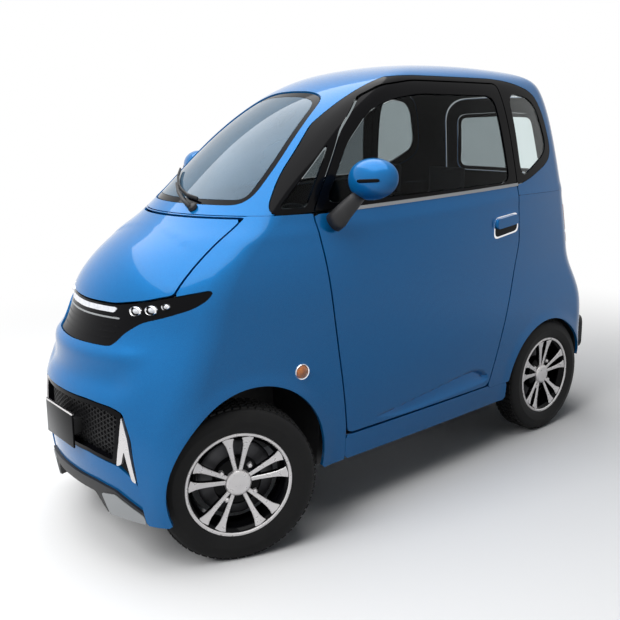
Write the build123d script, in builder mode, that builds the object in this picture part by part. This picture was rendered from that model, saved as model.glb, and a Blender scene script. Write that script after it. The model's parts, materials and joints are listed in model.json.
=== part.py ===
from build123d import *
import os
from math import cos, radians, sin

os.makedirs("parts", exist_ok=True)

# Driving dimensions in millimetres: +X forward, +Y left, +Z up, ground at Z = 0.
WHEELBASE = 1580.0
FRONT_AXLE = 794.0
REAR_AXLE = FRONT_AXLE - WHEELBASE
TYRE_RADIUS = 250.0
TYRE_WIDTH = 126.0
TREAD_WIDTH = 92.0
RIM_RADIUS = 166.0
RIM_BORE = 15.0
SPINDLE_RADIUS = 14.0
KINGPIN_Y = 350.0
SCRUB = 45.0
STEER = 22.0
WALL = 36.0
NOSE_WALL = 20.0
FIT = 0.4
SHUT = 6.0
REAR_SHUT = 14.0
FLOOR_Z = 205.0
FLOOR_T = 30.0
BELT_Z = 1070.0
SILL_Z = 240.0
REAR_SKIRT_Z = 290.0
NOSE_SKIRT_Z = 172.0
ARCH_DEPTH_Y = 385.0
GLASS_T = 5.0
GLASS_INSET = 9.0
TUNNEL_HALF = 165.0
SIDE_START = 265.0
SWEEP_RADIUS = 273.0
SWEEP_TOP = 512.0
HALF_LENGTH = 1218.0
REAR_TAIL = 1180.0
PLATE_W = 205.0
PLATE_H = 112.0
PLATE_Z = 430.0
LIP_Z = 150.0
WELL_TOP = 560.0
DECK_Z = 570.0
SEAT_Y = 185.0
SEAT_HALF = 165.0
STEERING_WHEEL = (330.0, 185.0, 930.0)
WHEEL_TILT = 28.0
HANDLE_X = -440.0
HANDLE_Z = 960.0
MIRROR = (350.0, 541.0, 1182.0)
MIRROR_FOOT = (400.0, 420.0, 1080.0)
MIRROR_HALF_W = 92.0
MIRROR_HALF_H = 66.0

# Wheel arches, as x, z and radius.
FRONT_ARCH = (784.0, 278.0, 278.0)
REAR_ARCH = (-772.0, 228.0, 285.0)

# Level, nose, front shoulder x and y, half width, rear shoulder x and y, tail.
SECTIONS = (
    (170, 1165, 1045, 432, 452, -1045, 432, -1140),
    (300, 1188, 1050, 441, 466, -1075, 452, -1168),
    (450, 1198, 1035, 445, 474, -1080, 457, -1176),
    (600, 1185, 975, 434, 474, -1066, 452, -1166),
    (740, 1118, 902, 424, 472, -1008, 432, -1094),
    (850, 1075, 858, 415, 470, -987, 423, -1070),
    (960, 966, 770, 394, 466, -972, 416, -1054),
    (1060, 825, 640, 375, 458, -957, 409, -1040),
    (1220, 640, 475, 360, 436, -928, 392, -1012),
    (1370, 450, 310, 335, 408, -898, 370, -984),
    (1490, 240, 120, 305, 368, -866, 342, -948),
    (1560, 20, -60, 245, 305, -800, 288, -880),
    (1592, -180, -230, 130, 195, -650, 165, -700),
    (1600, -300, -322, 60, 95, -545, 75, -570),
)

# Side view outlines, as x and z.
DOOR = ((405, 305), (492, BELT_Z), (326, 1340), (207, 1452), (95, 1498), (-50, 1520),
        (-500, 1520), (-545, 1112), (-552, 875), (-460, 588), (-356, 302))
DOOR_BELT = ((700, 1062), (-800, 1126), (-800, 1700), (700, 1700))
DOOR_WINDOW = ((438, 1098), (318, 1290), (196, 1402), (82, 1448), (-55, 1470), (-452, 1470), (-492, 1128))
FRONT_LIGHT = ((606, 1090), (512, 1090), (384, 1296))
QUARTER_WINDOW = ((-580, 1142), (-552, 1490), (-735, 1462), (-806, 1250), (-655, 1172))

# Front view outlines, as y and z, for the left half.
WINDSCREEN = ((0, 1098), (290, 1100), (275, 1240), (240, 1360), (198, 1452), (110, 1476), (0, 1484))
HOOD_PLAN = ((640, 308), (905, 318), (1300, 318))
HOOD_Z = 806.0
HOOD_TOP_Z = 1062.0
HOOD_REAR_RADIUS = 481.0
LAMP_BAR = ((0, 806), (150, 812), (250, 828), (316, 846), (396, 868), (394, 838), (372, 814),
            (318, 790), (256, 770), (212, 736), (188, 696), (0, 690))
GRILLE = ((0, 490), (150, 498), (262, 525), (268, 345), (0, 330))
LIGHT_STRIP = ((0, 784), (150, 790), (154, 803), (0, 798))
BLADE = ((274, 500), (292, 470), (300, 380), (322, 262), (300, 280), (278, 350))
TAILGATE = ((0, 720), (318, 720), (332, 1050), (288, 1420), (215, 1486), (0, 1496))
REAR_WINDOW = ((0, 1130), (262, 1135), (228, 1410), (0, 1425))
REAR_BUMPER = ((0, 480), (300, 480), (330, 450), (330, 350), (300, 320), (0, 320))
TAIL_LAMP = ((345, 820), (412, 820), (408, 1010), (352, 1010))
SIDES = (("left", 1), ("right", -1))

# Hinge axes along Y, as x and z, with the y of each pin's middle.
TAILGATE_HINGE = (-954.0, 1502.0)
TAILGATE_PIN_Y = 120.0
HOOD_HINGE = (715.0, 1075.0)
HOOD_PIN_Y = 292.0
PIN_RADIUS = 4.0
PIN_GAP = 0.3
BARREL_RADIUS = 6.5
BARREL_HALF = 9.0


def body_form(inset):
    """Loft the outer form of the body, drawn in by an even inset."""
    with BuildPart() as form:
        for level, nose, front_x, front_y, half, rear_x, rear_y, tail in SECTIONS:
            drop = inset * min(1.0, max(0.0, (level - 620) / 700))
            with BuildSketch(Plane.XY.offset(level - drop)) as section:
                middle = (front_x + rear_x) / 2
                front = (front_x - inset, front_y - inset)
                rear = (rear_x + inset, rear_y - inset)
                with BuildLine():
                    ThreePointArc((front[0], -front[1]), (nose - inset, 0), front)
                    ThreePointArc(front, (middle, half - inset), rear)
                    ThreePointArc(rear, (tail + inset, 0), (rear[0], -rear[1]))
                    ThreePointArc((rear[0], -rear[1]), (middle, inset - half), (front[0], -front[1]))
                make_face()
                corners = section.vertices().sort_by(Axis.X)
                fillet(corners[-2:], min(150, front_y * 0.45) - inset * 0.5)
                corners = section.vertices().sort_by(Axis.X)
                fillet(corners[:2], min(130, rear_y * 0.4) - inset * 0.5)
        loft()
    return form.part


def side_prism(points, side, grow=0.0):
    """Extrude a side view outline outward on one side of the car."""
    with BuildPart() as prism:
        with BuildSketch(Plane.XZ.offset(-SIDE_START * side)):
            with BuildLine():
                Polyline(*points, close=True)
            make_face()
            if grow:
                offset(amount=grow, kind=Kind.INTERSECTION, mode=Mode.REPLACE)
        extrude(amount=(SIDE_START - 900) * side)
    return prism.part


def face_prism(points, start, end, grow=0.0):
    """Extrude a front view outline, mirrored to both sides, along X."""
    with BuildPart() as prism:
        with BuildSketch(Plane.YZ.offset(start)):
            with BuildLine():
                Polyline(*points)
                Polyline(*[(-y, z) for y, z in points])
            make_face()
            if grow:
                offset(amount=grow, kind=Kind.INTERSECTION, mode=Mode.REPLACE)
        extrude(amount=end - start)
    return prism.part


def lamp_prism(points, side, start, end, grow=0.0):
    """Extrude a closed front view outline along X on one side only."""
    with BuildPart() as prism:
        with BuildSketch(Plane.YZ.offset(start)):
            with BuildLine():
                Polyline(*[(y * side, z) for y, z in points], close=True)
            make_face()
            if grow:
                offset(amount=grow, kind=Kind.INTERSECTION, mode=Mode.REPLACE)
        extrude(amount=end - start)
    return prism.part


def hood_prism(grow=0.0):
    """Extrude the hood's plan outline between its front and rear edges."""
    with BuildPart() as prism:
        with BuildSketch(Plane.XY.offset(HOOD_Z - grow)):
            with BuildLine():
                Polyline(*HOOD_PLAN, *[(x, -y) for x, y in reversed(HOOD_PLAN)], close=True)
            make_face()
            if grow:
                offset(amount=grow, kind=Kind.INTERSECTION, mode=Mode.REPLACE)
        extrude(amount=HOOD_TOP_Z - HOOD_Z + 2 * grow)
    return prism.part


def block(x0, x1, y0, y1, z0, z1):
    """Place a box by its six faces."""
    return Pos((x0 + x1) / 2, (y0 + y1) / 2, (z0 + z1) / 2) * Box(abs(x1 - x0), abs(y1 - y0), abs(z1 - z0),
                                                                  mode=Mode.PRIVATE)


def rod(start, end, radius):
    """Place a cylinder between two points."""
    path = Vector(*end) - Vector(*start)
    plane = Plane(origin=start, z_dir=path)
    return plane * Cylinder(radius, path.length, align=(Align.CENTER, Align.CENTER, Align.MIN),
                            mode=Mode.PRIVATE)


def hinge_pin(axis, middle, radius, reach):
    """Cylinder along a hinge axis, from one side of the barrel to the lug that holds it."""
    x, z = axis
    inner_end = abs(middle) - reach
    outer_end = abs(middle) + BARREL_HALF
    side = 1 if middle > 0 else -1
    return rod((x, inner_end * side, z), (x, outer_end * side, z), radius)


def arch(centre, side):
    """Cylinder along Y that opens a wheel arch on one side."""
    x, z, radius = centre
    return rod((x, ARCH_DEPTH_Y * side, z), (x, 900 * side, z), radius)


outer = body_form(0)
inner = body_form(WALL)
nose_wall = outer - body_form(NOSE_WALL)
wall = outer - inner
glazing = body_form(GLASS_INSET) - body_form(GLASS_INSET + GLASS_T)
fascia = body_form(4) - body_form(NOSE_WALL)
arches = [arch(place, side) for place in (FRONT_ARCH, REAR_ARCH) for _, side in SIDES]
tyre_sweeps = [rod((FRONT_AXLE, KINGPIN_Y * side, 100), (FRONT_AXLE, KINGPIN_Y * side, SWEEP_TOP),
                   SWEEP_RADIUS)
               for _, side in SIDES]
door_cuts = [side_prism(DOOR, side, SHUT) for _, side in SIDES]

# Fixed body panels.
with BuildPart() as front_body:
    add(nose_wall)
    add(block(405 + SHUT, 1400, -900, 900, NOSE_SKIRT_Z, BELT_Z - FIT), mode=Mode.INTERSECT)
    add([*door_cuts, *arches[:2], *tyre_sweeps, hood_prism(SHUT)], mode=Mode.SUBTRACT)
    add([face_prism(LAMP_BAR, 600, 1400), face_prism(GRILLE, 900, 1400)], mode=Mode.SUBTRACT)
    add(block(600, 1400, -314, 314, HOOD_TOP_Z, BELT_Z), mode=Mode.SUBTRACT)
front_body.part.label = "front_body"
export_step(front_body.part, "parts/front_body.step")

with BuildPart() as rear_body:
    add(wall)
    add(block(-1400, -356 - SHUT, -900, 900, REAR_SKIRT_Z, BELT_Z - FIT), mode=Mode.INTERSECT)
    add([*door_cuts, *arches[2:], face_prism(TAILGATE, -1400, -800, SHUT)], mode=Mode.SUBTRACT)
    add([lamp_prism(TAIL_LAMP, side, -1400, -700) for _, side in SIDES], mode=Mode.SUBTRACT)
rear_body.part.label = "rear_body"
export_step(rear_body.part, "parts/rear_body.step")

with BuildPart() as roof_frame:
    add(wall)
    add(block(-1400, 1400, -900, 900, BELT_Z, 1700), mode=Mode.INTERSECT)
    add([*door_cuts, face_prism(TAILGATE, -1400, -700, SHUT)], mode=Mode.SUBTRACT)
    add(face_prism(WINDSCREEN, 0, 1400), mode=Mode.SUBTRACT)
    add([side_prism(QUARTER_WINDOW, side) for _, side in SIDES], mode=Mode.SUBTRACT)
    add([side_prism(FRONT_LIGHT, side) for _, side in SIDES], mode=Mode.SUBTRACT)
    for _, side in SIDES:
        for axis, pin_y, lug_x in ((TAILGATE_HINGE, TAILGATE_PIN_Y, 26), (HOOD_HINGE, HOOD_PIN_Y, -26)):
            add(rod((axis[0], (pin_y - 11) * side, axis[1]), (axis[0], (pin_y + 15) * side, axis[1]),
                    BARREL_RADIUS + 6), mode=Mode.SUBTRACT)
            add(hinge_pin(axis, pin_y * side, PIN_RADIUS, 24))
            add(block(axis[0] - 5 * lug_x / 26, axis[0] + lug_x, (pin_y - 24) * side, (pin_y - 11) * side,
                      axis[1] - 4, axis[1] + 8))
roof_frame.part.label = "roof_frame"
export_step(roof_frame.part, "parts/roof_frame.step")

for side_name, side in SIDES:
    with BuildPart() as sill:
        add(wall)
        add(block(-356 - SHUT + FIT, 405 + SHUT - FIT, 0, 900 * side, SILL_Z, 302 - SHUT),
            mode=Mode.INTERSECT)
    sill.part.label = f"sill_{side_name}"
    export_step(sill.part, f"parts/sill_{side_name}.step")

# Glass, set just under the outer form.
with BuildPart() as windscreen:
    add(glazing)
    add(face_prism(WINDSCREEN, 0, 1400, -FIT), mode=Mode.INTERSECT)
windscreen.part.label = "windscreen"
export_step(windscreen.part, "parts/windscreen.step")

for pane_name, outline in (("quarter_window", QUARTER_WINDOW), ("front_light", FRONT_LIGHT)):
    for side_name, side in SIDES:
        with BuildPart() as pane:
            add(glazing)
            add(side_prism(outline, side, -FIT), mode=Mode.INTERSECT)
        pane.part.label = f"{pane_name}_{side_name}"
        export_step(pane.part, f"parts/{pane_name}_{side_name}.step")

# Front face: lamp bar, light strip, grille, plate, blades and skid lip.
for panel_name, outline in (("lamp_bar", LAMP_BAR), ("lower_grille", GRILLE)):
    with BuildPart() as panel:
        add(fascia)
        add(face_prism(outline, 600, 1400, -FIT), mode=Mode.INTERSECT)
    panel.part.label = panel_name
    export_step(panel.part, f"parts/{panel_name}.step")

with BuildPart() as light_strip:
    add(body_form(1) - body_form(4))
    add(face_prism(LIGHT_STRIP, 900, 1400), mode=Mode.INTERSECT)
light_strip.part.label = "light_strip"
export_step(light_strip.part, "parts/light_strip.step")

with BuildPart() as plate_holder:
    add(block(1170, HALF_LENGTH, -PLATE_W / 2, PLATE_W / 2, PLATE_Z - PLATE_H / 2, PLATE_Z + PLATE_H / 2))
    add(body_form(4), mode=Mode.SUBTRACT)
plate_holder.part.label = "plate_holder"
export_step(plate_holder.part, "parts/plate_holder.step")

raised = body_form(-5) - outer
for side_name, side in SIDES:
    with BuildPart() as blade:
        add(raised)
        add(lamp_prism(BLADE, side, 900, 1400), mode=Mode.INTERSECT)
    blade.part.label = f"bumper_blade_{side_name}"
    export_step(blade.part, f"parts/bumper_blade_{side_name}.step")

with BuildPart() as bumper_lip:
    with BuildSketch(Plane.XY.offset(LIP_Z)):
        with BuildLine():
            ThreePointArc((1075, -350), (1165, 0), (1075, 350))
            Line((1075, 350), (1040, 335))
            ThreePointArc((1040, 335), (1130, 0), (1040, -335))
            Line((1040, -335), (1075, -350))
        make_face()
    extrude(amount=NOSE_SKIRT_Z - LIP_Z)
    add(tyre_sweeps, mode=Mode.SUBTRACT)
bumper_lip.part.label = "bumper_lip"
export_step(bumper_lip.part, "parts/bumper_lip.step")

for side_name, side in SIDES:
    with BuildPart() as repeater:
        add(rod((595, 430 * side, 565), (595, 472 * side, 565), 18))
        add(outer, mode=Mode.SUBTRACT)
    repeater.part.label = f"side_repeater_{side_name}"
    export_step(repeater.part, f"parts/side_repeater_{side_name}.step")

    with BuildPart() as tail_lamp:
        add(wall)
        add(lamp_prism(TAIL_LAMP, side, -1400, -700, -FIT), mode=Mode.INTERSECT)
    tail_lamp.part.label = f"tail_lamp_{side_name}"
    export_step(tail_lamp.part, f"parts/tail_lamp_{side_name}.step")

with BuildPart() as rear_bumper:
    add(body_form(REAR_TAIL - HALF_LENGTH) - outer)
    add(face_prism(REAR_BUMPER, -1400, -900), mode=Mode.INTERSECT)
rear_bumper.part.label = "rear_bumper"
export_step(rear_bumper.part, "parts/rear_bumper.step")

# Hood, doors and tailgate.
with BuildPart() as hood:
    add(nose_wall)
    add(hood_prism(), mode=Mode.INTERSECT)
    add(face_prism(LAMP_BAR, 600, 1400, SHUT), mode=Mode.SUBTRACT)
    with BuildPart(mode=Mode.SUBTRACT):
        add(rod((352, 0, 1000), (352, 0, 1100), HOOD_REAR_RADIUS))
        add(block(0, 1400, -270, 270, 900, 1200), mode=Mode.INTERSECT)
    for _, side in SIDES:
        add(hinge_pin(HOOD_HINGE, HOOD_PIN_Y * side, BARREL_RADIUS, BARREL_HALF))
        add(block(HOOD_HINGE[0] - 4, HOOD_HINGE[0] + 30, (HOOD_PIN_Y - 9) * side, (HOOD_PIN_Y + 9) * side,
                  HOOD_HINGE[1] - 25, HOOD_HINGE[1] - 2))
        add(hinge_pin(HOOD_HINGE, HOOD_PIN_Y * side, PIN_RADIUS + PIN_GAP, 30), mode=Mode.SUBTRACT)
hood.part.label = "hood"
export_step(hood.part, "parts/hood.step")

door_leaf = [(x + REAR_SHUT - SHUT if x < -300 and z > 500 else x, z) for x, z in DOOR]
for side_name, side in SIDES:
    with BuildPart() as door_panel:
        add(wall)
        add(side_prism(door_leaf, side), mode=Mode.INTERSECT)
        add(side_prism(DOOR_BELT, side), mode=Mode.SUBTRACT)
    door_panel.part.label = f"door_panel_{side_name}"
    export_step(door_panel.part, f"parts/door_panel_{side_name}.step")

    with BuildPart() as door_frame:
        add(wall)
        add(side_prism(door_leaf, side), mode=Mode.INTERSECT)
        add(side_prism(DOOR_BELT, side), mode=Mode.INTERSECT)
        add(side_prism(DOOR_WINDOW, side), mode=Mode.SUBTRACT)
    door_frame.part.label = f"door_frame_{side_name}"
    export_step(door_frame.part, f"parts/door_frame_{side_name}.step")

    with BuildPart() as door_glass:
        add(glazing)
        add(side_prism(DOOR_WINDOW, side, -FIT), mode=Mode.INTERSECT)
    door_glass.part.label = f"door_glass_{side_name}"
    export_step(door_glass.part, f"parts/door_glass_{side_name}.step")

    with BuildPart() as door_handle:
        add(block(HANDLE_X - 55, HANDLE_X + 55, 420 * side, 496 * side, HANDLE_Z - 14, HANDLE_Z + 14))
        fillet(door_handle.edges().filter_by(Axis.Y), 12)
        add(block(HANDLE_X - 36, HANDLE_X + 36, 400 * side, 482 * side, HANDLE_Z - 30, HANDLE_Z + 30),
            mode=Mode.SUBTRACT)
        add(outer, mode=Mode.SUBTRACT)
    door_handle.part.label = f"door_handle_{side_name}"
    export_step(door_handle.part, f"parts/door_handle_{side_name}.step")

    with BuildPart() as mirror:
        Sphere(1)
        scale(by=(MIRROR_HALF_H, MIRROR_HALF_W, MIRROR_HALF_H), mode=Mode.REPLACE)
        add(Pos(MIRROR[0], MIRROR[1] * side, MIRROR[2]) * mirror.part, mode=Mode.REPLACE)
        add(rod((MIRROR_FOOT[0], MIRROR_FOOT[1] * side, MIRROR_FOOT[2]),
                (MIRROR[0] + 8, (MIRROR[1] - 35) * side, MIRROR[2] - 30), 17))
        add(outer, mode=Mode.SUBTRACT)
    mirror.part.label = f"mirror_{side_name}"
    export_step(mirror.part, f"parts/mirror_{side_name}.step")

with BuildPart() as tailgate:
    add(wall)
    add(face_prism(TAILGATE, -1400, -700), mode=Mode.INTERSECT)
    add(face_prism(REAR_WINDOW, -1400, -700), mode=Mode.SUBTRACT)
    for _, side in SIDES:
        add(hinge_pin(TAILGATE_HINGE, TAILGATE_PIN_Y * side, BARREL_RADIUS, BARREL_HALF))
        add(block(TAILGATE_HINGE[0] - 6, TAILGATE_HINGE[0] + 12, (TAILGATE_PIN_Y - 9) * side,
                  (TAILGATE_PIN_Y + 9) * side, TAILGATE_HINGE[1] - 18, TAILGATE_HINGE[1] - 3))
        add(hinge_pin(TAILGATE_HINGE, TAILGATE_PIN_Y * side, PIN_RADIUS + PIN_GAP, 30), mode=Mode.SUBTRACT)
tailgate.part.label = "tailgate"
export_step(tailgate.part, "parts/tailgate.step")

with BuildPart() as rear_window:
    add(glazing)
    add(face_prism(REAR_WINDOW, -1400, -700, -FIT), mode=Mode.INTERSECT)
rear_window.part.label = "rear_window"
export_step(rear_window.part, "parts/rear_window.step")

# Floor, battery and cabin fittings, kept inside the walls.
with BuildPart() as floor_pan:
    add(block(-500, 500, -430, 430, FLOOR_Z, FLOOR_Z + FLOOR_T))
    add(block(500, 1120, -TUNNEL_HALF, TUNNEL_HALF, FLOOR_Z, FLOOR_Z + FLOOR_T))
    add(block(480, 500, -440, 440, FLOOR_Z + FLOOR_T, 800))
    for _, side in SIDES:
        add(block(500, 1120, (TUNNEL_HALF - 8) * side, TUNNEL_HALF * side, FLOOR_Z + FLOOR_T, WELL_TOP))
        add(block(-1080, -500, 215 * side, 255 * side, 430, 470))
    add(block(500, 1120, -TUNNEL_HALF, TUNNEL_HALF, WELL_TOP - 8, WELL_TOP))
    add(block(-500, -480, -440, 440, FLOOR_Z + FLOOR_T, DECK_Z))
    add(block(-1120, -500, -440, 440, DECK_Z - 16, DECK_Z))
    for _, side in SIDES:
        add(block(-1080, -500, 215 * side, 255 * side, 460, DECK_Z - 10))
    add(body_form(WALL + 1), mode=Mode.INTERSECT)
floor_pan.part.label = "floor_pan"
export_step(floor_pan.part, "parts/floor_pan.step")

with BuildPart() as battery_pack:
    add(block(-400, 330, -300, 300, 150, FLOOR_Z))
battery_pack.part.label = "battery_pack"
export_step(battery_pack.part, "parts/battery_pack.step")

with BuildPart() as dashboard:
    with BuildSketch(Plane.XZ.offset(-430)):
        with BuildLine():
            Polyline((500, 800), (455, 800), (430, 860), (445, 950), (500, 1000), (700, 1030), (700, 960),
                     (560, 900), (500, 860), close=True)
        make_face()
    extrude(amount=860)
    add(body_form(WALL + 3), mode=Mode.INTERSECT)
dashboard.part.label = "dashboard"
export_step(dashboard.part, "parts/dashboard.step")

column_axis = Vector(-cos(radians(WHEEL_TILT)), 0, sin(radians(WHEEL_TILT)))
wheel_centre = Vector(*STEERING_WHEEL)
with BuildPart() as steering_column:
    add(rod(tuple(wheel_centre - column_axis * 110), tuple(wheel_centre - column_axis * 20), 30))
    add(rod(tuple(wheel_centre - column_axis * 60), tuple(wheel_centre + column_axis * 4), 9))
    add(dashboard.part, mode=Mode.SUBTRACT)
steering_column.part.label = "steering_column"
export_step(steering_column.part, "parts/steering_column.step")

with BuildPart() as steering_wheel:
    with BuildPart(Plane(origin=wheel_centre, x_dir=(0, 1, 0), z_dir=column_axis)):
        Torus(158, 13)
        Cylinder(34, 30)
        for angle in (0, 180, 270):
            with Locations(Rot(0, 0, angle)):
                Box(150, 26, 12, align=(Align.MIN, Align.CENTER, Align.CENTER))
        Hole(10, depth=24)
steering_wheel.part.label = "steering_wheel"
export_step(steering_wheel.part, "parts/steering_wheel.step")

for side_name, side in SIDES:
    middle = SEAT_Y * side
    with BuildPart() as seat:
        add(block(-300, 60, middle - 120, middle + 120, FLOOR_Z + FLOOR_T, 420))
        with BuildSketch(Plane.XZ.offset(-(middle + SEAT_HALF))):
            with BuildLine():
                Polyline((120, 420), (130, 500), (90, 520), (-230, 500), (-330, 960), (-360, 1040),
                         (-368, 1200),
                         (-430, 1195), (-425, 1040), (-410, 940), (-350, 440), (-330, 420), close=True)
            make_face()
        extrude(amount=2 * SEAT_HALF)
    seat.part.label = f"seat_{side_name}"
    export_step(seat.part, f"parts/seat_{side_name}.step")

# Running gear.
with BuildPart() as front_subframe:
    add(block(FRONT_AXLE - 70, FRONT_AXLE + 70, -190, 190, 150, FLOOR_Z))
    for _, side in SIDES:
        add(block(FRONT_AXLE - 60, FRONT_AXLE + 60, TUNNEL_HALF * side, 190 * side, 190, 365))
        for arm_z, pin_from, pin_to in ((162, 172, 200), (338, 300, 328)):
            for root_x in (-48, 48):
                add(rod((FRONT_AXLE + root_x, 180 * side, arm_z), (FRONT_AXLE, KINGPIN_Y * side, arm_z), 10))
            add(rod((FRONT_AXLE, KINGPIN_Y * side, arm_z - 10),
                    (FRONT_AXLE, KINGPIN_Y * side, arm_z + 10), 22))
            add(rod((FRONT_AXLE, KINGPIN_Y * side, pin_from), (FRONT_AXLE, KINGPIN_Y * side, pin_to), 8))
        add(rod((FRONT_AXLE, 285 * side, 160), (FRONT_AXLE, 275 * side, 540), 15))
        add(block(FRONT_AXLE - 30, FRONT_AXLE + 30, TUNNEL_HALF * side, 300 * side, 530, 542))
front_subframe.part.label = "front_subframe"
export_step(front_subframe.part, "parts/front_subframe.step")

with BuildPart() as rear_axle:
    add(rod((REAR_AXLE, -325, TYRE_RADIUS), (REAR_AXLE, 325, TYRE_RADIUS), 30))
    add(rod((REAR_AXLE, -431, TYRE_RADIUS), (REAR_AXLE, 431, TYRE_RADIUS), SPINDLE_RADIUS))
    for _, side in SIDES:
        add(rod((REAR_AXLE, 296 * side, TYRE_RADIUS), (REAR_AXLE, 326 * side, TYRE_RADIUS), 85))
        add(rod((REAR_AXLE - 30, 235 * side, TYRE_RADIUS), (REAR_AXLE - 30, 235 * side, 430), 20))
rear_axle.part.label = "rear_axle"
export_step(rear_axle.part, "parts/rear_axle.step")

with BuildPart() as motor:
    add(block(REAR_AXLE + 30, REAR_AXLE + 200, -120, 120, 170, 330))
motor.part.label = "motor"
export_step(motor.part, "parts/motor.step")

for side_name, side in SIDES:
    hub_y = (KINGPIN_Y + SCRUB) * side
    turn = Pos(FRONT_AXLE, KINGPIN_Y * side, 0) * Rot(0, 0, -STEER) * Pos(-FRONT_AXLE, -KINGPIN_Y * side, 0)
    with BuildPart() as upright:
        add(block(FRONT_AXLE - 22, FRONT_AXLE + 22, (KINGPIN_Y - 16) * side, (KINGPIN_Y + 16) * side,
                  178, 322))
        add(rod((FRONT_AXLE, KINGPIN_Y * side, TYRE_RADIUS),
                (FRONT_AXLE, hub_y + 36 * side, TYRE_RADIUS), SPINDLE_RADIUS))
        add(rod((FRONT_AXLE, (KINGPIN_Y + 12) * side, TYRE_RADIUS),
                (FRONT_AXLE, (KINGPIN_Y + 22) * side, TYRE_RADIUS), 70))
        add(rod((FRONT_AXLE, KINGPIN_Y * side, 178), (FRONT_AXLE, KINGPIN_Y * side, 206), 9),
            mode=Mode.SUBTRACT)
        add(rod((FRONT_AXLE, KINGPIN_Y * side, 294), (FRONT_AXLE, KINGPIN_Y * side, 322), 9),
            mode=Mode.SUBTRACT)
    with BuildPart() as knuckle:
        add(turn * upright.part)
    knuckle.part.label = f"knuckle_{side_name}"
    export_step(knuckle.part, f"parts/knuckle_{side_name}.step")

    for axle_name, axle_x in (("front", FRONT_AXLE), ("rear", REAR_AXLE)):
        place = Plane(origin=(axle_x, hub_y, TYRE_RADIUS), x_dir=(1, 0, 0), z_dir=(0, side, 0))
        with BuildPart() as tyre_form:
            with BuildSketch(Plane.XZ):
                with BuildLine():
                    Polyline((RIM_RADIUS, -54), (RIM_RADIUS, 54), (185, 61), (206, TYRE_WIDTH / 2), (228, 60),
                             (244, 52), (TYRE_RADIUS, TREAD_WIDTH / 2), (TYRE_RADIUS, -TREAD_WIDTH / 2),
                             (244, -52), (228, -60), (206, -TYRE_WIDTH / 2), (185, -61), close=True)
                make_face()
            revolve(axis=Axis.Z)
        with BuildPart() as rim_form:
            with BuildSketch(Plane.XZ):
                with BuildLine():
                    Polyline((RIM_RADIUS, -52), (RIM_RADIUS, 54), (150, 54), (146, 46), (40, 40), (34, 52),
                             (0, 52), (0, 42), (RIM_BORE, 42), (RIM_BORE, -8), (32, -8), (34, 26), (140, 30),
                             (150, 22),
                             (152, -52), close=True)
                make_face()
            revolve(axis=Axis.Z)
            with PolarLocations(98, 5):
                Cylinder(27, 200, mode=Mode.SUBTRACT)
        for piece_name, form in (("tyre", tyre_form), ("rim", rim_form)):
            with BuildPart() as piece:
                if axle_name == "front":
                    add(turn * (place * form.part))
                else:
                    add(place * form.part)
            piece.part.label = f"{piece_name}_{axle_name}_{side_name}"
            export_step(piece.part, f"parts/{piece_name}_{axle_name}_{side_name}.step")
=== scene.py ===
# %% [markdown]
# # Electric quadricycle
# A tiny two-door electric car with a painted shell, black window band and alloy wheels.
# The solids are already packed as one frame, so each piece here is made where the frame says, in metres.

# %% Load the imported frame
import json
import math

import bmesh
import bpy
import numpy as np
from mathutils import Matrix, Vector
from mathutils.bvhtree import BVHTree


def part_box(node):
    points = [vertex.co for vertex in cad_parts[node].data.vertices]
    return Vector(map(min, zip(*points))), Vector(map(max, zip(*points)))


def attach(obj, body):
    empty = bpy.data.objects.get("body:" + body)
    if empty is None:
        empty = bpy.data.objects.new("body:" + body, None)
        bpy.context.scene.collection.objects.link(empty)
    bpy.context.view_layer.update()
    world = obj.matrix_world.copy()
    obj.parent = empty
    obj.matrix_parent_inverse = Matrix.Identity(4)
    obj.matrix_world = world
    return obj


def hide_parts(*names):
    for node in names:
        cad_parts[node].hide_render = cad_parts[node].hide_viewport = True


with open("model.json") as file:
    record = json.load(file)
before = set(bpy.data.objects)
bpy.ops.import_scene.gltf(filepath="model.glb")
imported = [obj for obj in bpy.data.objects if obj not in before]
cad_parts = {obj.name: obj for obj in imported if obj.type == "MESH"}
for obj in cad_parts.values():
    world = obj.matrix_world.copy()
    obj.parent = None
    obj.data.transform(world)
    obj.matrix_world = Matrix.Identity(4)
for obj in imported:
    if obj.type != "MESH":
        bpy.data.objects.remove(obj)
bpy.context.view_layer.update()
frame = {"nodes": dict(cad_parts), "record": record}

MM = 0.001
SIDES = (("left", 1), ("right", -1))
scene = bpy.context.scene
scene.view_settings.view_transform = "Standard"

# %% [markdown]
# ## Studio
# The car stands on a pale floor under soft light from above. The camera stands ahead of the left front wheel,
# a little above the bonnet. The picture is cut from a larger one, so the lens is shifted a little.

# %% Camera
eye = bpy.data.cameras.new("studio_camera")
camera = bpy.data.objects.new("studio_camera", eye)
scene.collection.objects.link(camera)
scene.camera = camera
PICTURE = 620
FOCAL_PIXELS = 784.8
SHIFT_PIXELS = (64, -55)
YAW, PITCH = math.radians(46.86), math.radians(9.35)
eye.sensor_width = 36
eye.lens = FOCAL_PIXELS / PICTURE * eye.sensor_width
eye.shift_x = -SHIFT_PIXELS[0] / PICTURE
eye.shift_y = SHIFT_PIXELS[1] / PICTURE
eye.clip_end = 200
camera.location = (2.092, 2.397, 1.352)
gaze = Vector((-math.cos(PITCH) * math.cos(YAW), -math.cos(PITCH) * math.sin(YAW), -math.sin(PITCH)))
camera.rotation_euler = gaze.to_track_quat("-Z", "Y").to_euler()
print("lens", round(eye.lens, 2), "shift", round(eye.shift_x, 3), round(eye.shift_y, 3))

# %% Node helpers
def add_node(tree, kind, operation=None, **values):
    """A node with its operation and constant inputs. An underscore in an input's name stands for a space."""
    node = tree.nodes.new(kind)
    if operation:
        node.operation = operation
    for socket, value in values.items():
        node.inputs[socket.replace("_", " ")].default_value = value
    return node


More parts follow.
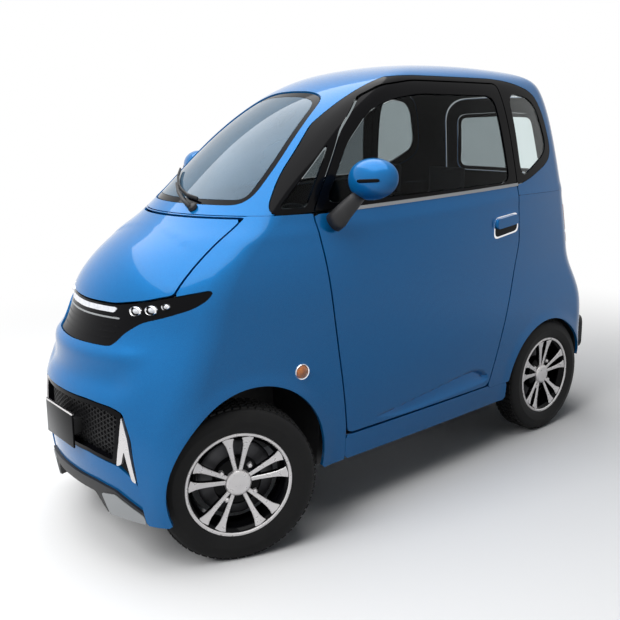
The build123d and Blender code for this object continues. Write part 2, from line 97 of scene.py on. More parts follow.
def wire(tree, *pairs):
    for source, target in pairs:
        tree.links.new(source, target)


def seen_ray(tree):
    """The ray node, and a value of one for a ray from the camera, from a reflection or through glass."""
    ray = add_node(tree, "ShaderNodeLightPath")
    mirrored = add_node(tree, "ShaderNodeMath", "MAXIMUM")
    through = add_node(tree, "ShaderNodeMath", "MAXIMUM")
    wire(tree, (ray.outputs["Is Camera Ray"], mirrored.inputs[0]),
         (ray.outputs["Is Glossy Ray"], mirrored.inputs[1]),
         (mirrored.outputs[0], through.inputs[0]),
         (ray.outputs["Is Transmission Ray"], through.inputs[1]))
    return ray, through.outputs[0]


# %% Light and background
world = bpy.data.worlds.new("soft_studio")
scene.world = world
world.use_nodes = True
sky = world.node_tree
sky.nodes.clear()
white = add_node(sky, "ShaderNodeBackground", Color=(1, 1, 1, 1))
fill = add_node(sky, "ShaderNodeBackground", Color=(0.86, 0.92, 1, 1), Strength=0.11)
choose = add_node(sky, "ShaderNodeMixShader")
result = add_node(sky, "ShaderNodeOutputWorld")
wire(sky, (seen_ray(sky)[1], choose.inputs[0]), (fill.outputs[0], choose.inputs[1]),
     (white.outputs[0], choose.inputs[2]), (choose.outputs[0], result.inputs["Surface"]))


def soft_lamp(name, place, target, size, power):
    lamp = bpy.data.lights.new(name, "AREA")
    lamp.shape = "RECTANGLE"
    lamp.size, lamp.size_y = size
    lamp.energy = power
    holder = bpy.data.objects.new(name, lamp)
    holder.location = place
    holder.rotation_euler = (Vector(target) - Vector(place)).to_track_quat("-Z", "Y").to_euler()
    scene.collection.objects.link(holder)
    return holder


soft_lamp("overhead_bank", (1.1, -1.4, 5.6), (0.3, -0.9, 0.8), (8, 6), 380)
front_bank = soft_lamp("front_bank", (5.0, 0.4, 4.5), (0.4, 0, 0.6), (4, 3), 230)
front_bank.visible_glossy = False

# %% [markdown]
# ## Finishes
# Every finish is a Principled shader with noise that follows the real surface: fine flakes in the paint,
# grain in the mouldings, faint smears in gloss; the windscreen's colour patches are painted reflection.
# Constant values sit on the shader's own sockets.


# %% Finish helpers
def shader_of(material):
    return material.node_tree.nodes["Principled BSDF"]


def object_noise(material, scale, detail=4.0):
    tree = material.node_tree
    place = add_node(tree, "ShaderNodeTexCoord")
    noise = add_node(tree, "ShaderNodeTexNoise", Scale=scale, Detail=detail)
    wire(tree, (place.outputs["Object"], noise.inputs["Vector"]))
    return noise.outputs["Fac"]


def vary_colour(material, dark, light, scale):
    tree = material.node_tree
    ramp = add_node(tree, "ShaderNodeValToRGB")
    for end, position, colour in zip(ramp.color_ramp.elements, (0.3, 0.7), (dark, light)):
        end.position = position
        end.color = (*colour, 1)
    wire(tree, (object_noise(material, scale), ramp.inputs["Fac"]),
         (ramp.outputs["Color"], shader_of(material).inputs["Base Color"]))


def vary_gloss(material, low, high, scale):
    tree = material.node_tree
    spread = add_node(tree, "ShaderNodeMapRange", To_Min=low, To_Max=high)
    wire(tree, (object_noise(material, scale), spread.inputs["Value"]),
         (spread.outputs["Result"], shader_of(material).inputs["Roughness"]))


def add_grain(material, scale, strength, depth):
    tree = material.node_tree
    bump = add_node(tree, "ShaderNodeBump", Strength=strength, Distance=depth)
    wire(tree, (object_noise(material, scale, 2.0), bump.inputs["Height"]),
         (bump.outputs["Normal"], shader_of(material).inputs["Normal"]))


def new_finish(name, colour, rough, metal=0.0, shades=None, gloss=None, grain=None, **sockets):
    """A finish. shades are a dark and a light colour and a scale, gloss is low, high and a scale,
    and grain is a scale, a strength and a depth in metres."""
    material = bpy.data.materials.new(name)
    material.use_nodes = True
    sockets.update(Base_Color=(*colour, 1), Roughness=rough, Metallic=metal)
    for socket, value in sockets.items():
        shader_of(material).inputs[socket.replace("_", " ")].default_value = value
    material.diffuse_color = (*colour, 1)
    for vary, values in ((vary_colour, shades), (vary_gloss, gloss), (add_grain, grain)):
        if values:
            vary(material, *values)
    return material


# %% Car paint
# Metallic flakes are tiny cells, each a slightly different blue, under a clear coat.
blue_paint = new_finish("blue_metallic_paint", (0.006, 0.17, 0.46), 0.3, 0.3, gloss=(0.27, 0.33, 5),
                        Specular_IOR_Level=0.0, Coat_Weight=1.0, Coat_Roughness=0.05, Coat_IOR=1.3)
tree = blue_paint.node_tree
place = add_node(tree, "ShaderNodeTexCoord")
flakes = add_node(tree, "ShaderNodeTexVoronoi", Scale=1400)
shade = add_node(tree, "ShaderNodeValToRGB")
shade.color_ramp.elements[0].color = (0.002, 0.115, 0.36, 1)
shade.color_ramp.elements[1].color = (0.008, 0.2, 0.52, 1)
wire(tree, (place.outputs["Object"], flakes.inputs["Vector"]), (flakes.outputs["Color"], shade.inputs["Fac"]),
     (shade.outputs["Color"], shader_of(blue_paint).inputs["Base Color"]))
print("paint nodes", len(tree.nodes))

# %% Plastics, metals and rubber
black_gloss = new_finish("black_gloss", (0.003, 0.003, 0.004), 0.1, gloss=(0.05, 0.12, 9),
                         Specular_IOR_Level=0.08)
black_trim = new_finish("black_moulded_trim", (0.012, 0.012, 0.013), 0.55, grain=(900, 0.25, 0.0004),
                        shades=((0.006, 0.006, 0.007), (0.012, 0.012, 0.013), 40))
dark_lining = new_finish("dark_lining", (0.016, 0.016, 0.018), 0.85, grain=(500, 0.4, 0.0006),
                         shades=((0.012, 0.012, 0.014), (0.024, 0.024, 0.026), 120))
bright_metal = new_finish("machined_alloy", (0.74, 0.72, 0.72), 0.3, 0.55, gloss=(0.22, 0.36, 60))
silver_plastic = new_finish("silver_plastic", (0.36, 0.375, 0.385), 0.35, 0.4, gloss=(0.3, 0.42, 25))
chrome = new_finish("bright_chrome", (0.86, 0.86, 0.87), 0.08, 1.0, gloss=(0.05, 0.14, 30))
rubber = new_finish("tyre_rubber", (0.005, 0.005, 0.006), 0.7, grain=(700, 0.3, 0.0004),
                    shades=((0.004, 0.004, 0.0045), (0.009, 0.009, 0.009), 14), Specular_IOR_Level=0.25)
steel = new_finish("coated_steel", (0.06, 0.06, 0.065), 0.5, 0.6, grain=(300, 0.15, 0.0004),
                   shades=((0.045, 0.045, 0.05), (0.085, 0.085, 0.09), 18))
unit_case = new_finish("cast_case", (0.2, 0.205, 0.21), 0.5, 0.8, grain=(400, 0.3, 0.0005),
                       shades=((0.3, 0.305, 0.31), (0.42, 0.425, 0.43), 30))
seat_cloth = new_finish("seat_cover", (0.03, 0.03, 0.033), 0.7, grain=(380, 0.5, 0.0008),
                        shades=((0.024, 0.024, 0.027), (0.045, 0.045, 0.05), 220), Sheen_Weight=0.2)

# %% Glass and lenses
# Windscreen: its partly opaque blue-grey colour is painted reflection and painted shade from the dark cabin
# behind, and its large pale and dark patches are painted reflections.
screen_glass_painted_reflection = new_finish("windscreen_glass", (0.1, 0.2, 0.3), 0.03, Transmission_Weight=0.55, IOR=1.45,
                          shades=((0.06, 0.15, 0.24), (0.14, 0.25, 0.36), 2.2), Specular_IOR_Level=0.35)
glass = new_finish("clear_glass", (0.82, 0.88, 0.88), 0.02, gloss=(0.0, 0.03, 6), Transmission_Weight=1.0,
                   IOR=1.3)
tinted_glass = new_finish("tinted_glass", (0.26, 0.29, 0.3), 0.02, gloss=(0.0, 0.03, 6),
                          Transmission_Weight=1.0, IOR=1.15)
red_lens = new_finish("red_lens", (0.5, 0.008, 0.01), 0.1, Coat_Weight=0.6,
                      shades=((0.4, 0.004, 0.006), (0.65, 0.012, 0.014), 90))
amber_lens = new_finish("amber_lens", (0.75, 0.2, 0.015), 0.12, Coat_Weight=0.6,
                        shades=((0.6, 0.13, 0.01), (0.85, 0.26, 0.02), 160))
light_guide = new_finish("light_guide", (0.82, 0.84, 0.88), 0.2, Coat_Weight=0.5,
                         shades=((0.72, 0.74, 0.8), (0.9, 0.91, 0.94), 80))
print("finishes", len(bpy.data.materials))

# %% [markdown]
# ## Floor
# The floor is one pale sheet. It keeps the shadow, and seen far off it fades into the white background.

# %% Floor
REACH = 30
FADE_FROM, FADE_TO = 1.6, 4.0
floor_mesh = bpy.data.meshes.new("studio_floor")
floor_mesh.from_pydata([(x * REACH, y * REACH, 0) for x, y in ((-1, -1), (1, -1), (1, 1), (-1, 1))], [],
                       [(0, 1, 2, 3)])
floor = bpy.data.objects.new("studio_floor", floor_mesh)
scene.collection.objects.link(floor)
floor_finish = new_finish("pale_floor", (0.9, 0.9, 0.9), 0.9, Specular_IOR_Level=0.1)
floor_mesh.materials.append(floor_finish)
tree = floor_finish.node_tree
place = add_node(tree, "ShaderNodeTexCoord")
away = add_node(tree, "ShaderNodeVectorMath", "LENGTH")
fade = add_node(tree, "ShaderNodeMapRange", From_Min=FADE_FROM, From_Max=FADE_TO)
fade.interpolation_type = "SMOOTHSTEP"
ray, seen = seen_ray(tree)
share = add_node(tree, "ShaderNodeMath", "MULTIPLY")
white = add_node(tree, "ShaderNodeEmission")
blend = add_node(tree, "ShaderNodeMixShader")
dull = add_node(tree, "ShaderNodeBsdfDiffuse", Color=(0.18, 0.18, 0.18, 1))
bounce = add_node(tree, "ShaderNodeMixShader")
wire(tree, (place.outputs["Object"], away.inputs[0]), (away.outputs["Value"], fade.inputs["Value"]),
     (seen, share.inputs[0]), (fade.outputs["Result"], share.inputs[1]),
     (share.outputs[0], blend.inputs[0]), (shader_of(floor_finish).outputs[0], blend.inputs[1]),
     (white.outputs[0], blend.inputs[2]), (ray.outputs["Is Diffuse Ray"], bounce.inputs[0]),
     (blend.outputs[0], bounce.inputs[1]), (dull.outputs[0], bounce.inputs[2]),
     (bounce.outputs[0], tree.nodes["Material Output"].inputs["Surface"]))
print("floor half width", REACH)

# %% [markdown]
# ## The outer skin
# The shell is one smooth form, drawn as level outlines from the skirts to the roof.
# Each outline is a front arc, a side arc and a tail arc with rounded corners.
# A spline runs each measure smoothly from level to level, so the panels have even reflections.

# %% Level outlines
# level, nose, front shoulder x, front shoulder y, half width, rear shoulder x, rear shoulder y, tail
LEVELS = np.array([
    (170, 1165, 1045, 432, 452, -1045, 432, -1140),
    (300, 1188, 1050, 441, 466, -1075, 452, -1168),
    (450, 1198, 1035, 445, 474, -1080, 457, -1176),
    (600, 1185, 975, 434, 474, -1066, 452, -1166),
    (740, 1118, 902, 424, 472, -1008, 432, -1094),
    (850, 1075, 858, 415, 470, -987, 423, -1070),
    (960, 966, 770, 394, 466, -972, 416, -1054),
    (1060, 825, 640, 375, 458, -957, 409, -1040),
    (1220, 640, 475, 360, 436, -928, 392, -1012),
    (1370, 450, 310, 335, 408, -898, 370, -984),
    (1490, 240, 120, 305, 368, -866, 342, -948),
    (1560, 20, -60, 245, 305, -800, 288, -880),
    (1592, -180, -230, 130, 195, -650, 165, -700),
    (1600, -300, -322, 60, 95, -545, 75, -570),
], float)
STEPS = (12, 26, 22, 20, 14, 13, 15, 22, 22, 22, 20, 16, 6)


def smooth_columns(table, steps):
    count = len(table)
    system = np.eye(count)
    pull = np.zeros_like(table)
    for i in range(1, count - 1):
        system[i, i - 1:i + 2] = (1, 4, 1)
        pull[i] = 6 * (table[i - 1] - 2 * table[i] + table[i + 1])
    bend = np.linalg.solve(system, pull)
    rows = []
    for i, step in enumerate(steps):
        t = (np.arange(step) / step)[:, None]
        s = 1 - t
        rows.append(s * table[i] + t * table[i + 1]
                    + ((s ** 3 - s) * bend[i] + (t ** 3 - t) * bend[i + 1]) / 6)
    rows.append(table[-1:])
    return np.concatenate(rows)


level_rows = smooth_columns(LEVELS, STEPS)
print("levels", len(level_rows))


# %% From outline measures to points
def circle_through(a, b, c):
    ax, ay = a
    bx, by = b
    cx, cy = c
    d = 2 * (ax * (by - cy) + bx * (cy - ay) + cx * (ay - by))
    ux = ((ax**2 + ay**2) * (by - cy) + (bx**2 + by**2) * (cy - ay) + (cx**2 + cy**2) * (ay - by)) / d
    uy = ((ax**2 + ay**2) * (cx - bx) + (bx**2 + by**2) * (ax - cx) + (cx**2 + cy**2) * (bx - ax)) / d
    return ux, uy, np.hypot(ax - ux, ay - uy)


def corner_round(first, second, radius, near):
    x1, y1, r1 = first
    x2, y2, r2 = second
    reach1, reach2 = r1 - radius, r2 - radius
    dx, dy = x2 - x1, y2 - y1
    gap = np.hypot(dx, dy)
    along = (reach1**2 - reach2**2 + gap**2) / (2 * gap)
    rise = np.sqrt(np.maximum(reach1**2 - along**2, 0))
    mx, my = x1 + along * dx / gap, y1 + along * dy / gap
    options = [(mx - rise * dy / gap, my + rise * dx / gap), (mx + rise * dy / gap, my - rise * dx / gap)]
    miss = [np.hypot(px - near[0], py - near[1]) for px, py in options]
    px = np.where(miss[0] < miss[1], options[0][0], options[1][0])
    py = np.where(miss[0] < miss[1], options[0][1], options[1][1])
    touch1 = (x1 + (px - x1) * r1 / reach1, y1 + (py - y1) * r1 / reach1)
    touch2 = (x2 + (px - x2) * r2 / reach2, y2 + (py - y2) * r2 / reach2)
    return (px, py, radius), touch1, touch2


def sweep(circle, start, end, count):
    x, y, r = circle
    a0 = np.arctan2(start[1] - y, start[0] - x)
    a1 = np.arctan2(end[1] - y, end[0] - x)
    a1 = np.where(a1 - a0 > np.pi, a1 - 2 * np.pi, np.where(a1 - a0 < -np.pi, a1 + 2 * np.pi, a1))
    t = np.arange(count) / count
    angle = a0[:, None] + (a1 - a0)[:, None] * t
    return np.stack([x[:, None] + r[:, None] * np.cos(angle), y[:, None] + r[:, None] * np.sin(angle)], 2)


def half_outline(rows):
    nose, fx, fy, half, rx, ry, tail = rows.T[1:]
    zero = np.zeros_like(nose)
    front = circle_through((fx, -fy), (nose, zero), (fx, fy))
    side = circle_through((fx, fy), ((fx + rx) / 2, half), (rx, ry))
    rear = circle_through((rx, ry), (tail, zero), (rx, -ry))
    front_corner, f1, f2 = corner_round(front, side, np.minimum(150, 0.45 * fy), (fx, fy))
    rear_corner, r1, r2 = corner_round(side, rear, np.minimum(130, 0.4 * ry), (rx, ry))
    runs = [sweep(front, (nose, zero), f1, 26), sweep(front_corner, f1, f2, 18),
            sweep(side, f2, r1, 130), sweep(rear_corner, r1, r2, 16), sweep(rear, r2, (tail, zero), 22)]
    last = np.stack([tail, zero], 1)[:, None, :]
    return np.concatenate(runs + [last], 1)


outline = half_outline(level_rows)
crown_scale = (0.75, 0.5, 0.25, 0.0)
heart = np.array([(-435.0, 0.0)])
outline = np.concatenate([outline] + [(heart + (outline[-1] - heart) * s)[None] for s in crown_scale])
heights = np.concatenate([level_rows[:, 0], np.full(len(crown_scale), LEVELS[-1, 0])])
left = np.concatenate([outline, np.broadcast_to(heights[:, None, None], (*outline.shape[:2], 1))], 2)
right = left[:, -2:0:-1] * (1, -1, 1)
ring = np.concatenate([left, right], 1)
ROWS, ROUND = ring.shape[:2]
print("skin grid", ROWS, "by", ROUND)

# %% [markdown]
# ### Pressed details
# A real panel is not one plain curve: the arches have rolled lips, the chin under the mouth is hollowed,
# and a crescent is pressed into the foot of each door. These are small moves along the surface normal.


# %% Press the details into the skin
def surface_normals(points):
    around = np.roll(points, -1, 1) - np.roll(points, 1, 1)
    up = np.gradient(points, axis=0)
    normal = np.cross(around, up)
    length = np.linalg.norm(normal, axis=2, keepdims=True)
    return normal / np.maximum(length, 1e-9)


def ease(value):
    value = np.clip(value, 0, 1)
    return value * value * (3 - 2 * value)


X, Y, Z = ring[..., 0], np.abs(ring[..., 1]), ring[..., 2]
FAR = 999.0
FRONT_ARCH, REAR_ARCH = (784, 278, 278), (-772, 228, 285)
ARCH_DEPTH = 385


def arch_distance(arch):
    reach = np.hypot(X - arch[0], Z - arch[1]) - arch[2]
    return np.where(Y > ARCH_DEPTH - 60, reach, FAR)


ARCH_LIP, SCOOP_DEPTH, CHIN_LIP, CHIN_HOLLOW, BELT_RIDGE = 5, 27, 9, 17, 3
press = np.zeros_like(X)
for arch in (FRONT_ARCH, REAR_ARCH):
    press += ARCH_LIP * np.exp(-(arch_distance(arch) / 26) ** 2)
SCOOP_X = (-440, -352, -325, -290, -245, -170, 0, 150, 284, 330)
crease = np.interp(X, SCOOP_X, (328, 331, 362, 384, 392, 385, 363, 345, 333, 330))
foot = np.interp(X, SCOOP_X, (328, 330, 327, 323, 320, 317, 314, 313, 331, 330))
depth = np.maximum(crease - foot, 1)
scoop = np.clip((crease - Z) / depth, 0, 1)
in_scoop = (X > -352) & (X < 284)
press -= np.where(in_scoop, SCOOP_DEPTH * ease(scoop / 0.25) * (1 - scoop) * ease(depth / 40), 0)
chin = (X > 600) * ease((330 - Y) / 110)
press += chin * CHIN_LIP * np.exp(-((Z - 672) / 24) ** 2)
press -= chin * CHIN_HOLLOW * np.exp(-((Z - 600) / 44) ** 2)
ridge = BELT_RIDGE * np.exp(-((Z - 1035 + 0.045 * X) / 26) ** 2)
press += np.where(np.abs(X + 30) < 900, ridge, 0)
outward = surface_normals(ring)
if (outward[40, 100] * (0, 1, 0)).sum() < 0:
    outward = -outward
skin = (ring + outward * press[..., None]) * MM
skin_flat = skin.reshape(-1, 3)
index = np.arange(ROWS * ROUND).reshape(ROWS, ROUND)
quads = np.stack([index[:-1], np.roll(index[:-1], -1, 1), np.roll(index[1:], -1, 1), index[1:]],
                 2).reshape(-1, 4)
skin_tree = BVHTree.FromPolygons(skin_flat.tolist(), quads.tolist())
print("pressed by", round(press.min(), 1), "to", round(press.max(), 1), "mm")

# %% [markdown]
# ## Cutting the panels
# Each panel is the part of the skin inside an outline. A distance field says how far each point is
# outside its panel, and faces that cross the border are cut along it, so shut lines run clean at any angle.
# Solidify then gives the sheet a turned edge, and a small bevel rounds it.


# %% Distance fields
def rounded(points, radius):
    """The outline with each corner turned into a small curve."""
    points = np.array(points, float)
    soft = []
    for before, here, after in zip(np.roll(points, 1, 0), points, np.roll(points, -1, 0)):
        back, ahead = before - here, after - here
        start = here + back * min(radius / np.linalg.norm(back), 0.45)
        end = here + ahead * min(radius / np.linalg.norm(ahead), 0.45)
        for t in np.linspace(0, 1, 6):
            soft.append((1 - t) ** 2 * start + 2 * t * (1 - t) * here + t * t * end)
    return np.array(soft)


def outside(points, a, b, radius=30):
    """Signed distance to an outline, negative inside it."""
    shape = rounded(points, radius)
    best = np.full(a.shape, 1e12)
    inside = np.zeros(a.shape, bool)
    for (px, py), (qx, qy) in zip(shape, np.roll(shape, -1, 0)):
        ex, ey = qx - px, qy - py
        wx, wy = a - px, b - py
        t = np.clip((wx * ex + wy * ey) / max(ex * ex + ey * ey, 1e-9), 0, 1)
        best = np.minimum(best, (wx - ex * t) ** 2 + (wy - ey * t) ** 2)
        crosses = (py > b) != (qy > b)
        inside ^= crosses & (a < ex * (b - py) / (ey if abs(ey) > 1e-9 else 1e-9) + px)
    return np.where(inside, -1, 1) * np.sqrt(best)


def across(points):
    """An outline given for one side, carried past the middle so that both halves can be read with it."""
    return [(y if y > 0 else -200, z) for y, z in points]


DOOR = ((405, 305), (492, 1070), (326, 1340), (207, 1452), (95, 1498), (-50, 1520), (-500, 1520),
        (-545, 1112), (-552, 875), (-460, 588), (-356, 302))
DOOR_WINDOW = ((438, 1098), (318, 1290), (196, 1402), (82, 1448), (-55, 1470), (-452, 1470), (-492, 1128))
FRONT_LIGHT = ((606, 1090), (512, 1090), (384, 1296))
QUARTER_WINDOW = ((-580, 1142), (-552, 1490), (-735, 1462), (-806, 1250), (-655, 1172))
WINDOW_BAND = ((655, 1066), (560, 1192), (420, 1330), (318, 1420), (205, 1490), (90, 1526), (-50, 1540),
               (-500, 1540), (-620, 1528), (-750, 1492), (-800, 1400), (-834, 1250), (-800, 1196),
               (-650, 1136), (-556, 1112))
WINDSCREEN = ((0, 1098), (290, 1100), (275, 1240), (240, 1360), (198, 1452), (110, 1476), (0, 1484))
LAMP_BAR = ((0, 806), (150, 812), (250, 828), (316, 846), (396, 868), (394, 838), (372, 814), (318, 790),
            (256, 770), (212, 736), (188, 696), (0, 690))
LOWER_MOUTH = ((0, 545), (150, 541), (245, 531), (286, 518), (317, 442), (330, 336), (340, 150), (0, 150))
LOWER_BAR = ((0, 366), (130, 362), (256, 344), (282, 330), (322, 300), (336, 200), (236, 262), (150, 275),
             (0, 282))
TAILGATE = ((0, 720), (318, 720), (332, 1050), (288, 1420), (215, 1486), (0, 1496))
REAR_WINDOW = ((0, 1130), (262, 1135), (228, 1410), (0, 1425))
TAIL_LAMP = ((345, 820), (412, 820), (408, 1010), (352, 1010))
GAP = 3.0
inboard = 262 - Y
door_field = np.maximum(outside(DOOR, X, Z, 26), inboard)
band_field = np.maximum(outside(WINDOW_BAND, X, Z, 60), inboard)
window_field = np.maximum(outside(DOOR_WINDOW, X, Z, 45), inboard)
light_field = np.maximum(outside(FRONT_LIGHT, X, Z, 18), inboard)
quarter_field = np.maximum(outside(QUARTER_WINDOW, X, Z, 70), inboard)
screen_field = np.maximum(outside(across(WINDSCREEN), Y, Z, 50), -X)
lamp_field = np.maximum(outside(across(LAMP_BAR), Y, Z, 16), -X)
mouth_field = np.maximum(outside(across(LOWER_MOUTH), Y, Z, 14), -X)
gate_field = np.maximum(outside(across(TAILGATE), Y, Z, 60), X + 600)
rear_field = np.maximum(outside(across(REAR_WINDOW), Y, Z, 50), X + 600)
tail_field = np.maximum(outside(TAIL_LAMP, Y, Z, 16), X + 600)
front_arch_field = np.maximum(np.hypot(X - FRONT_ARCH[0], Z - FRONT_ARCH[1]) - FRONT_ARCH[2], ARCH_DEPTH - Y)
rear_arch_field = np.maximum(np.hypot(X - REAR_ARCH[0], Z - REAR_ARCH[1]) - REAR_ARCH[2], ARCH_DEPTH - Y)
belt = 1062 + (700 - X) * 64 / 1500
hood_edge = np.interp(X, (640, 905, 1300), (308, 318, 318))
hood_field = np.maximum.reduce([Y - hood_edge, Z - 1062, 806 - Z, -X, 4 - lamp_field])
print("fields ready for", X.size, "points")


# %% Cut the skin and make a sheet
def cut_sheet(sheet, cells, values):
    """Faces of a sheet where the values are below zero, cut along the zero line."""
    corner = values[cells] < 0
    whole = cells[corner.all(1)]
    crossing = cells[corner.any(1) & ~corner.all(1)]
    points = list(map(tuple, sheet))
    faces = whole.tolist()
    made = {}

    def border(a, b):
        key = (min(a, b), max(a, b))
        if key not in made:
            t = values[a] / (values[a] - values[b])
            made[key] = len(points)
            points.append(tuple(sheet[a] + (sheet[b] - sheet[a]) * t))
        return made[key]

    for quad in crossing.tolist():
        face = []
        for a, b in zip(quad, quad[1:] + quad[:1]):
            if values[a] < 0:
                face.append(a)
            if (values[a] < 0) != (values[b] < 0):
                face.append(border(a, b))
        if len(face) > 2:
            faces.append(face)
    used = sorted({i for face in faces for i in face})
    renumber = {old: new for new, old in enumerate(used)}
    return [points[i] for i in used], [[renumber[i] for i in face] for face in faces]


def clean_mesh(mesh, merge=0.0, thinnest=0.0, turn_out=True):
    """Merges close points, drops faces without area and turns a closed form's faces outward."""
    work = bmesh.new()
    work.from_mesh(mesh)
    if merge:
        bmesh.ops.remove_doubles(work, verts=work.verts, dist=merge)
    if thinnest:
        bmesh.ops.dissolve_degenerate(work, edges=work.edges, dist=thinnest)
    if turn_out:
        bmesh.ops.recalc_face_normals(work, faces=work.faces)
    work.to_mesh(mesh)
    work.free()


def stand(name, mesh, *materials):
    """An object of the scene with a mesh and its finishes."""
    for material in materials:
        mesh.materials.append(material)
    piece = bpy.data.objects.new(name, mesh)
    scene.collection.objects.link(piece)
    return piece


def evaluated_mesh(holder, name):
    """The mesh that an object's modifiers make. The object itself is removed."""
    bpy.context.view_layer.update()
    mesh = bpy.data.meshes.new_from_object(holder.evaluated_get(bpy.context.evaluated_depsgraph_get()))
    mesh.name = name
    bpy.data.objects.remove(holder)
    return mesh


def coordinates(mesh):
    flat = np.zeros(len(mesh.vertices) * 3)
    mesh.vertices.foreach_get("co", flat)
    return flat.reshape(-1, 3)


def band_faces(rings, around, first=0):
    """Faces between rings of points that follow one another."""
    faces = []
    for i in range(rings - 1):
        for k in range(around):
            a, b = first + i * around + k, first + i * around + (k + 1) % around
            faces.append((a, b, b + around, a + around))
    return faces


def mesh_piece(name, points, faces, *materials, closed=False):
    mesh = bpy.data.meshes.new(name)
    mesh.from_pydata(points, [], faces)
    clean_mesh(mesh, merge=0.0002, turn_out=closed)
    mesh.shade_smooth()
    return stand(name, mesh, *materials)


def turn_edges(piece, thickness, round_off, inner_material=0):
    wall = piece.modifiers.new("wall", "SOLIDIFY")
    wall.thickness = thickness
    wall.offset = -1
    wall.use_even_offset = False
    wall.material_offset = inner_material
    soften = piece.modifiers.new("edge", "BEVEL")
    soften.width = round_off
    soften.segments = 2
    soften.limit_method = "ANGLE"
    soften.angle_limit = math.radians(50)
    even = piece.modifiers.new("even_shading", "WEIGHTED_NORMAL")
    even.keep_sharp = False
    return piece


def face_out(piece, centre=(-0.05, 0, 0.8)):
    """Turns an open sheet so that its faces look away from the middle of the car."""
    mesh = piece.data
    score = sum((Vector(f.center) - Vector(centre)).dot(f.normal) * f.area for f in mesh.polygons)
    if score < 0:
        mesh.flip_normals()
    return piece


def settle(piece, body, slot, *nodes):
    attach(piece, body)
    if nodes:
        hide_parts(*nodes)
    return piece


def skin_panel(name, field, materials, body, slot, *nodes, thickness=0.012, round_off=0.0022, sink=0.0):
    points, faces = cut_sheet(skin_flat, quads, field.ravel())
    piece = face_out(mesh_piece(name, points, faces, *materials))
    if sink:
        inward = [vertex.normal * sink for vertex in piece.data.vertices]
        for vertex, move in zip(piece.data.vertices, inward):
            vertex.co -= move
    turn_edges(piece, thickness, round_off, 1 if len(materials) > 1 else 0)
    settle(piece, body, slot, *nodes)
    print(name, len(piece.data.polygons), "faces")
    return piece


# %% [markdown]
# ### Painted panels
# The nose and wings are one moulding between the bonnet, the lamp bar and the doors. The roof runs from the
# windscreen to the tail around the black window band. The inner side of each sheet takes the dark lining.

# %% Painted panels
BELT_CUT, SILL_FOOT, SKIRT_FOOT = 1069, 212, 172
painted = (blue_paint, dark_lining)
y_signed = ring[..., 1]
nose_field = np.maximum.reduce([411 - X, SKIRT_FOOT - Z, Z - BELT_CUT, GAP - door_field,
                                -front_arch_field, GAP - hood_field, 1 - lamp_field, 1 - mouth_field,
                                np.where(X < 600, SILL_FOOT - Z, -FAR)])
skin_panel("nose_panel", nose_field, painted, "chassis", "body_paint", "front_body")
bar_field = np.maximum(outside(across(LOWER_BAR), Y, Z, 10), -X)
skin_panel("lower_bar", bar_field, painted, "chassis", "body_paint", sink=0.012)
skin_panel("bonnet", hood_field + GAP, painted, "hood", "body_paint", "hood")
tail_shell_field = np.maximum.reduce([X + 362, 290 - Z, Z - BELT_CUT, GAP - door_field, -rear_arch_field,
                                      4 - gate_field, 1 - tail_field])
skin_panel("tail_panel", tail_shell_field, painted, "chassis", "body_paint", "rear_body")
roof_field = np.maximum.reduce([BELT_CUT + 1 - Z, 1 - band_field, GAP - door_field, 3 - gate_field,
                                1 - screen_field])
skin_panel("roof_panel", roof_field, painted, "chassis", "body_paint", "roof_frame")
gate_panel_field = np.maximum(gate_field + 4, 1 - rear_field)
skin_panel("tailgate_panel", gate_panel_field, painted, "tailgate", "body_paint", "tailgate")
for side_name, sign in SIDES:
    this_side = -y_signed * sign
    door_low = np.maximum.reduce([door_field + GAP, Z - belt + 6, this_side])
    skin_panel(f"door_skin_{side_name}", door_low, painted, f"door_{side_name}", "body_paint",
               f"door_panel_{side_name}")
    door_high = np.maximum.reduce([door_field + GAP, belt + 6 - Z, 1 - window_field, this_side])
    skin_panel(f"window_frame_{side_name}", door_high, (black_gloss, dark_lining), f"door_{side_name}",
               "black_gloss", f"door_frame_{side_name}")
    surround = np.maximum.reduce([band_field + 1, GAP - door_field, 1 - light_field, 1 - quarter_field,
                                  BELT_CUT + 1 - Z, this_side])
    skin_panel(f"window_surround_{side_name}", surround, (black_gloss, dark_lining), "chassis", "black_gloss")
    sill_top = np.where(X > -362, 299, 289)
    sill_field = np.maximum.reduce([X - 410, -480 - X, SILL_FOOT - Z, Z - sill_top, this_side,
                                    GAP - door_field, 1 - rear_arch_field])
    skin_panel(f"sill_panel_{side_name}", sill_field, painted, "chassis", "body_paint", f"sill_{side_name}")

# %% [markdown]
# ### Glass
# Panes sit a few millimetres under the skin, with a black printed border where they are glued.

# %% Panes
PANE = dict(thickness=0.004, round_off=0.0006, sink=0.004)
# The windscreen pane carries the glass with painted reflection and painted shade.
skin_panel("windscreen_glass", screen_field + 18, (screen_glass_painted_reflection,), "chassis", "clear_glass", "windscreen",
           **PANE)
skin_panel("windscreen_border", np.maximum(screen_field + 2, -17 - screen_field), (black_gloss,), "chassis",
           "black_gloss", **PANE)
skin_panel("rear_glass", rear_field + 20, (glass,), "tailgate", "clear_glass", "rear_window", **PANE)
skin_panel("rear_glass_border", np.maximum(rear_field + 2, -19 - rear_field), (black_gloss,), "tailgate",
           "black_gloss", **PANE)
for side_name, sign in SIDES:
    this_side = -y_signed * sign
    skin_panel(f"door_pane_{side_name}", np.maximum(window_field + 2, this_side), (tinted_glass,),
               f"door_{side_name}", "clear_glass", f"door_glass_{side_name}", **PANE)
    skin_panel(f"front_pane_{side_name}", np.maximum(light_field + 2, this_side), (tinted_glass,), "chassis",
               "clear_glass", f"front_light_{side_name}", **PANE)
    skin_panel(f"quarter_pane_{side_name}", np.maximum(quarter_field + 2, this_side), (glass,), "chassis",
               "clear_glass", f"quarter_window_{side_name}", **PANE)

# %% [markdown]
# ## Patches on the skin
# Lamps, strips and handles follow the skin but are finer than its grid. A patch is a fine sheet of points
# cast onto the skin from the front, the back or the side, cut to an outline and sunk or raised a little.


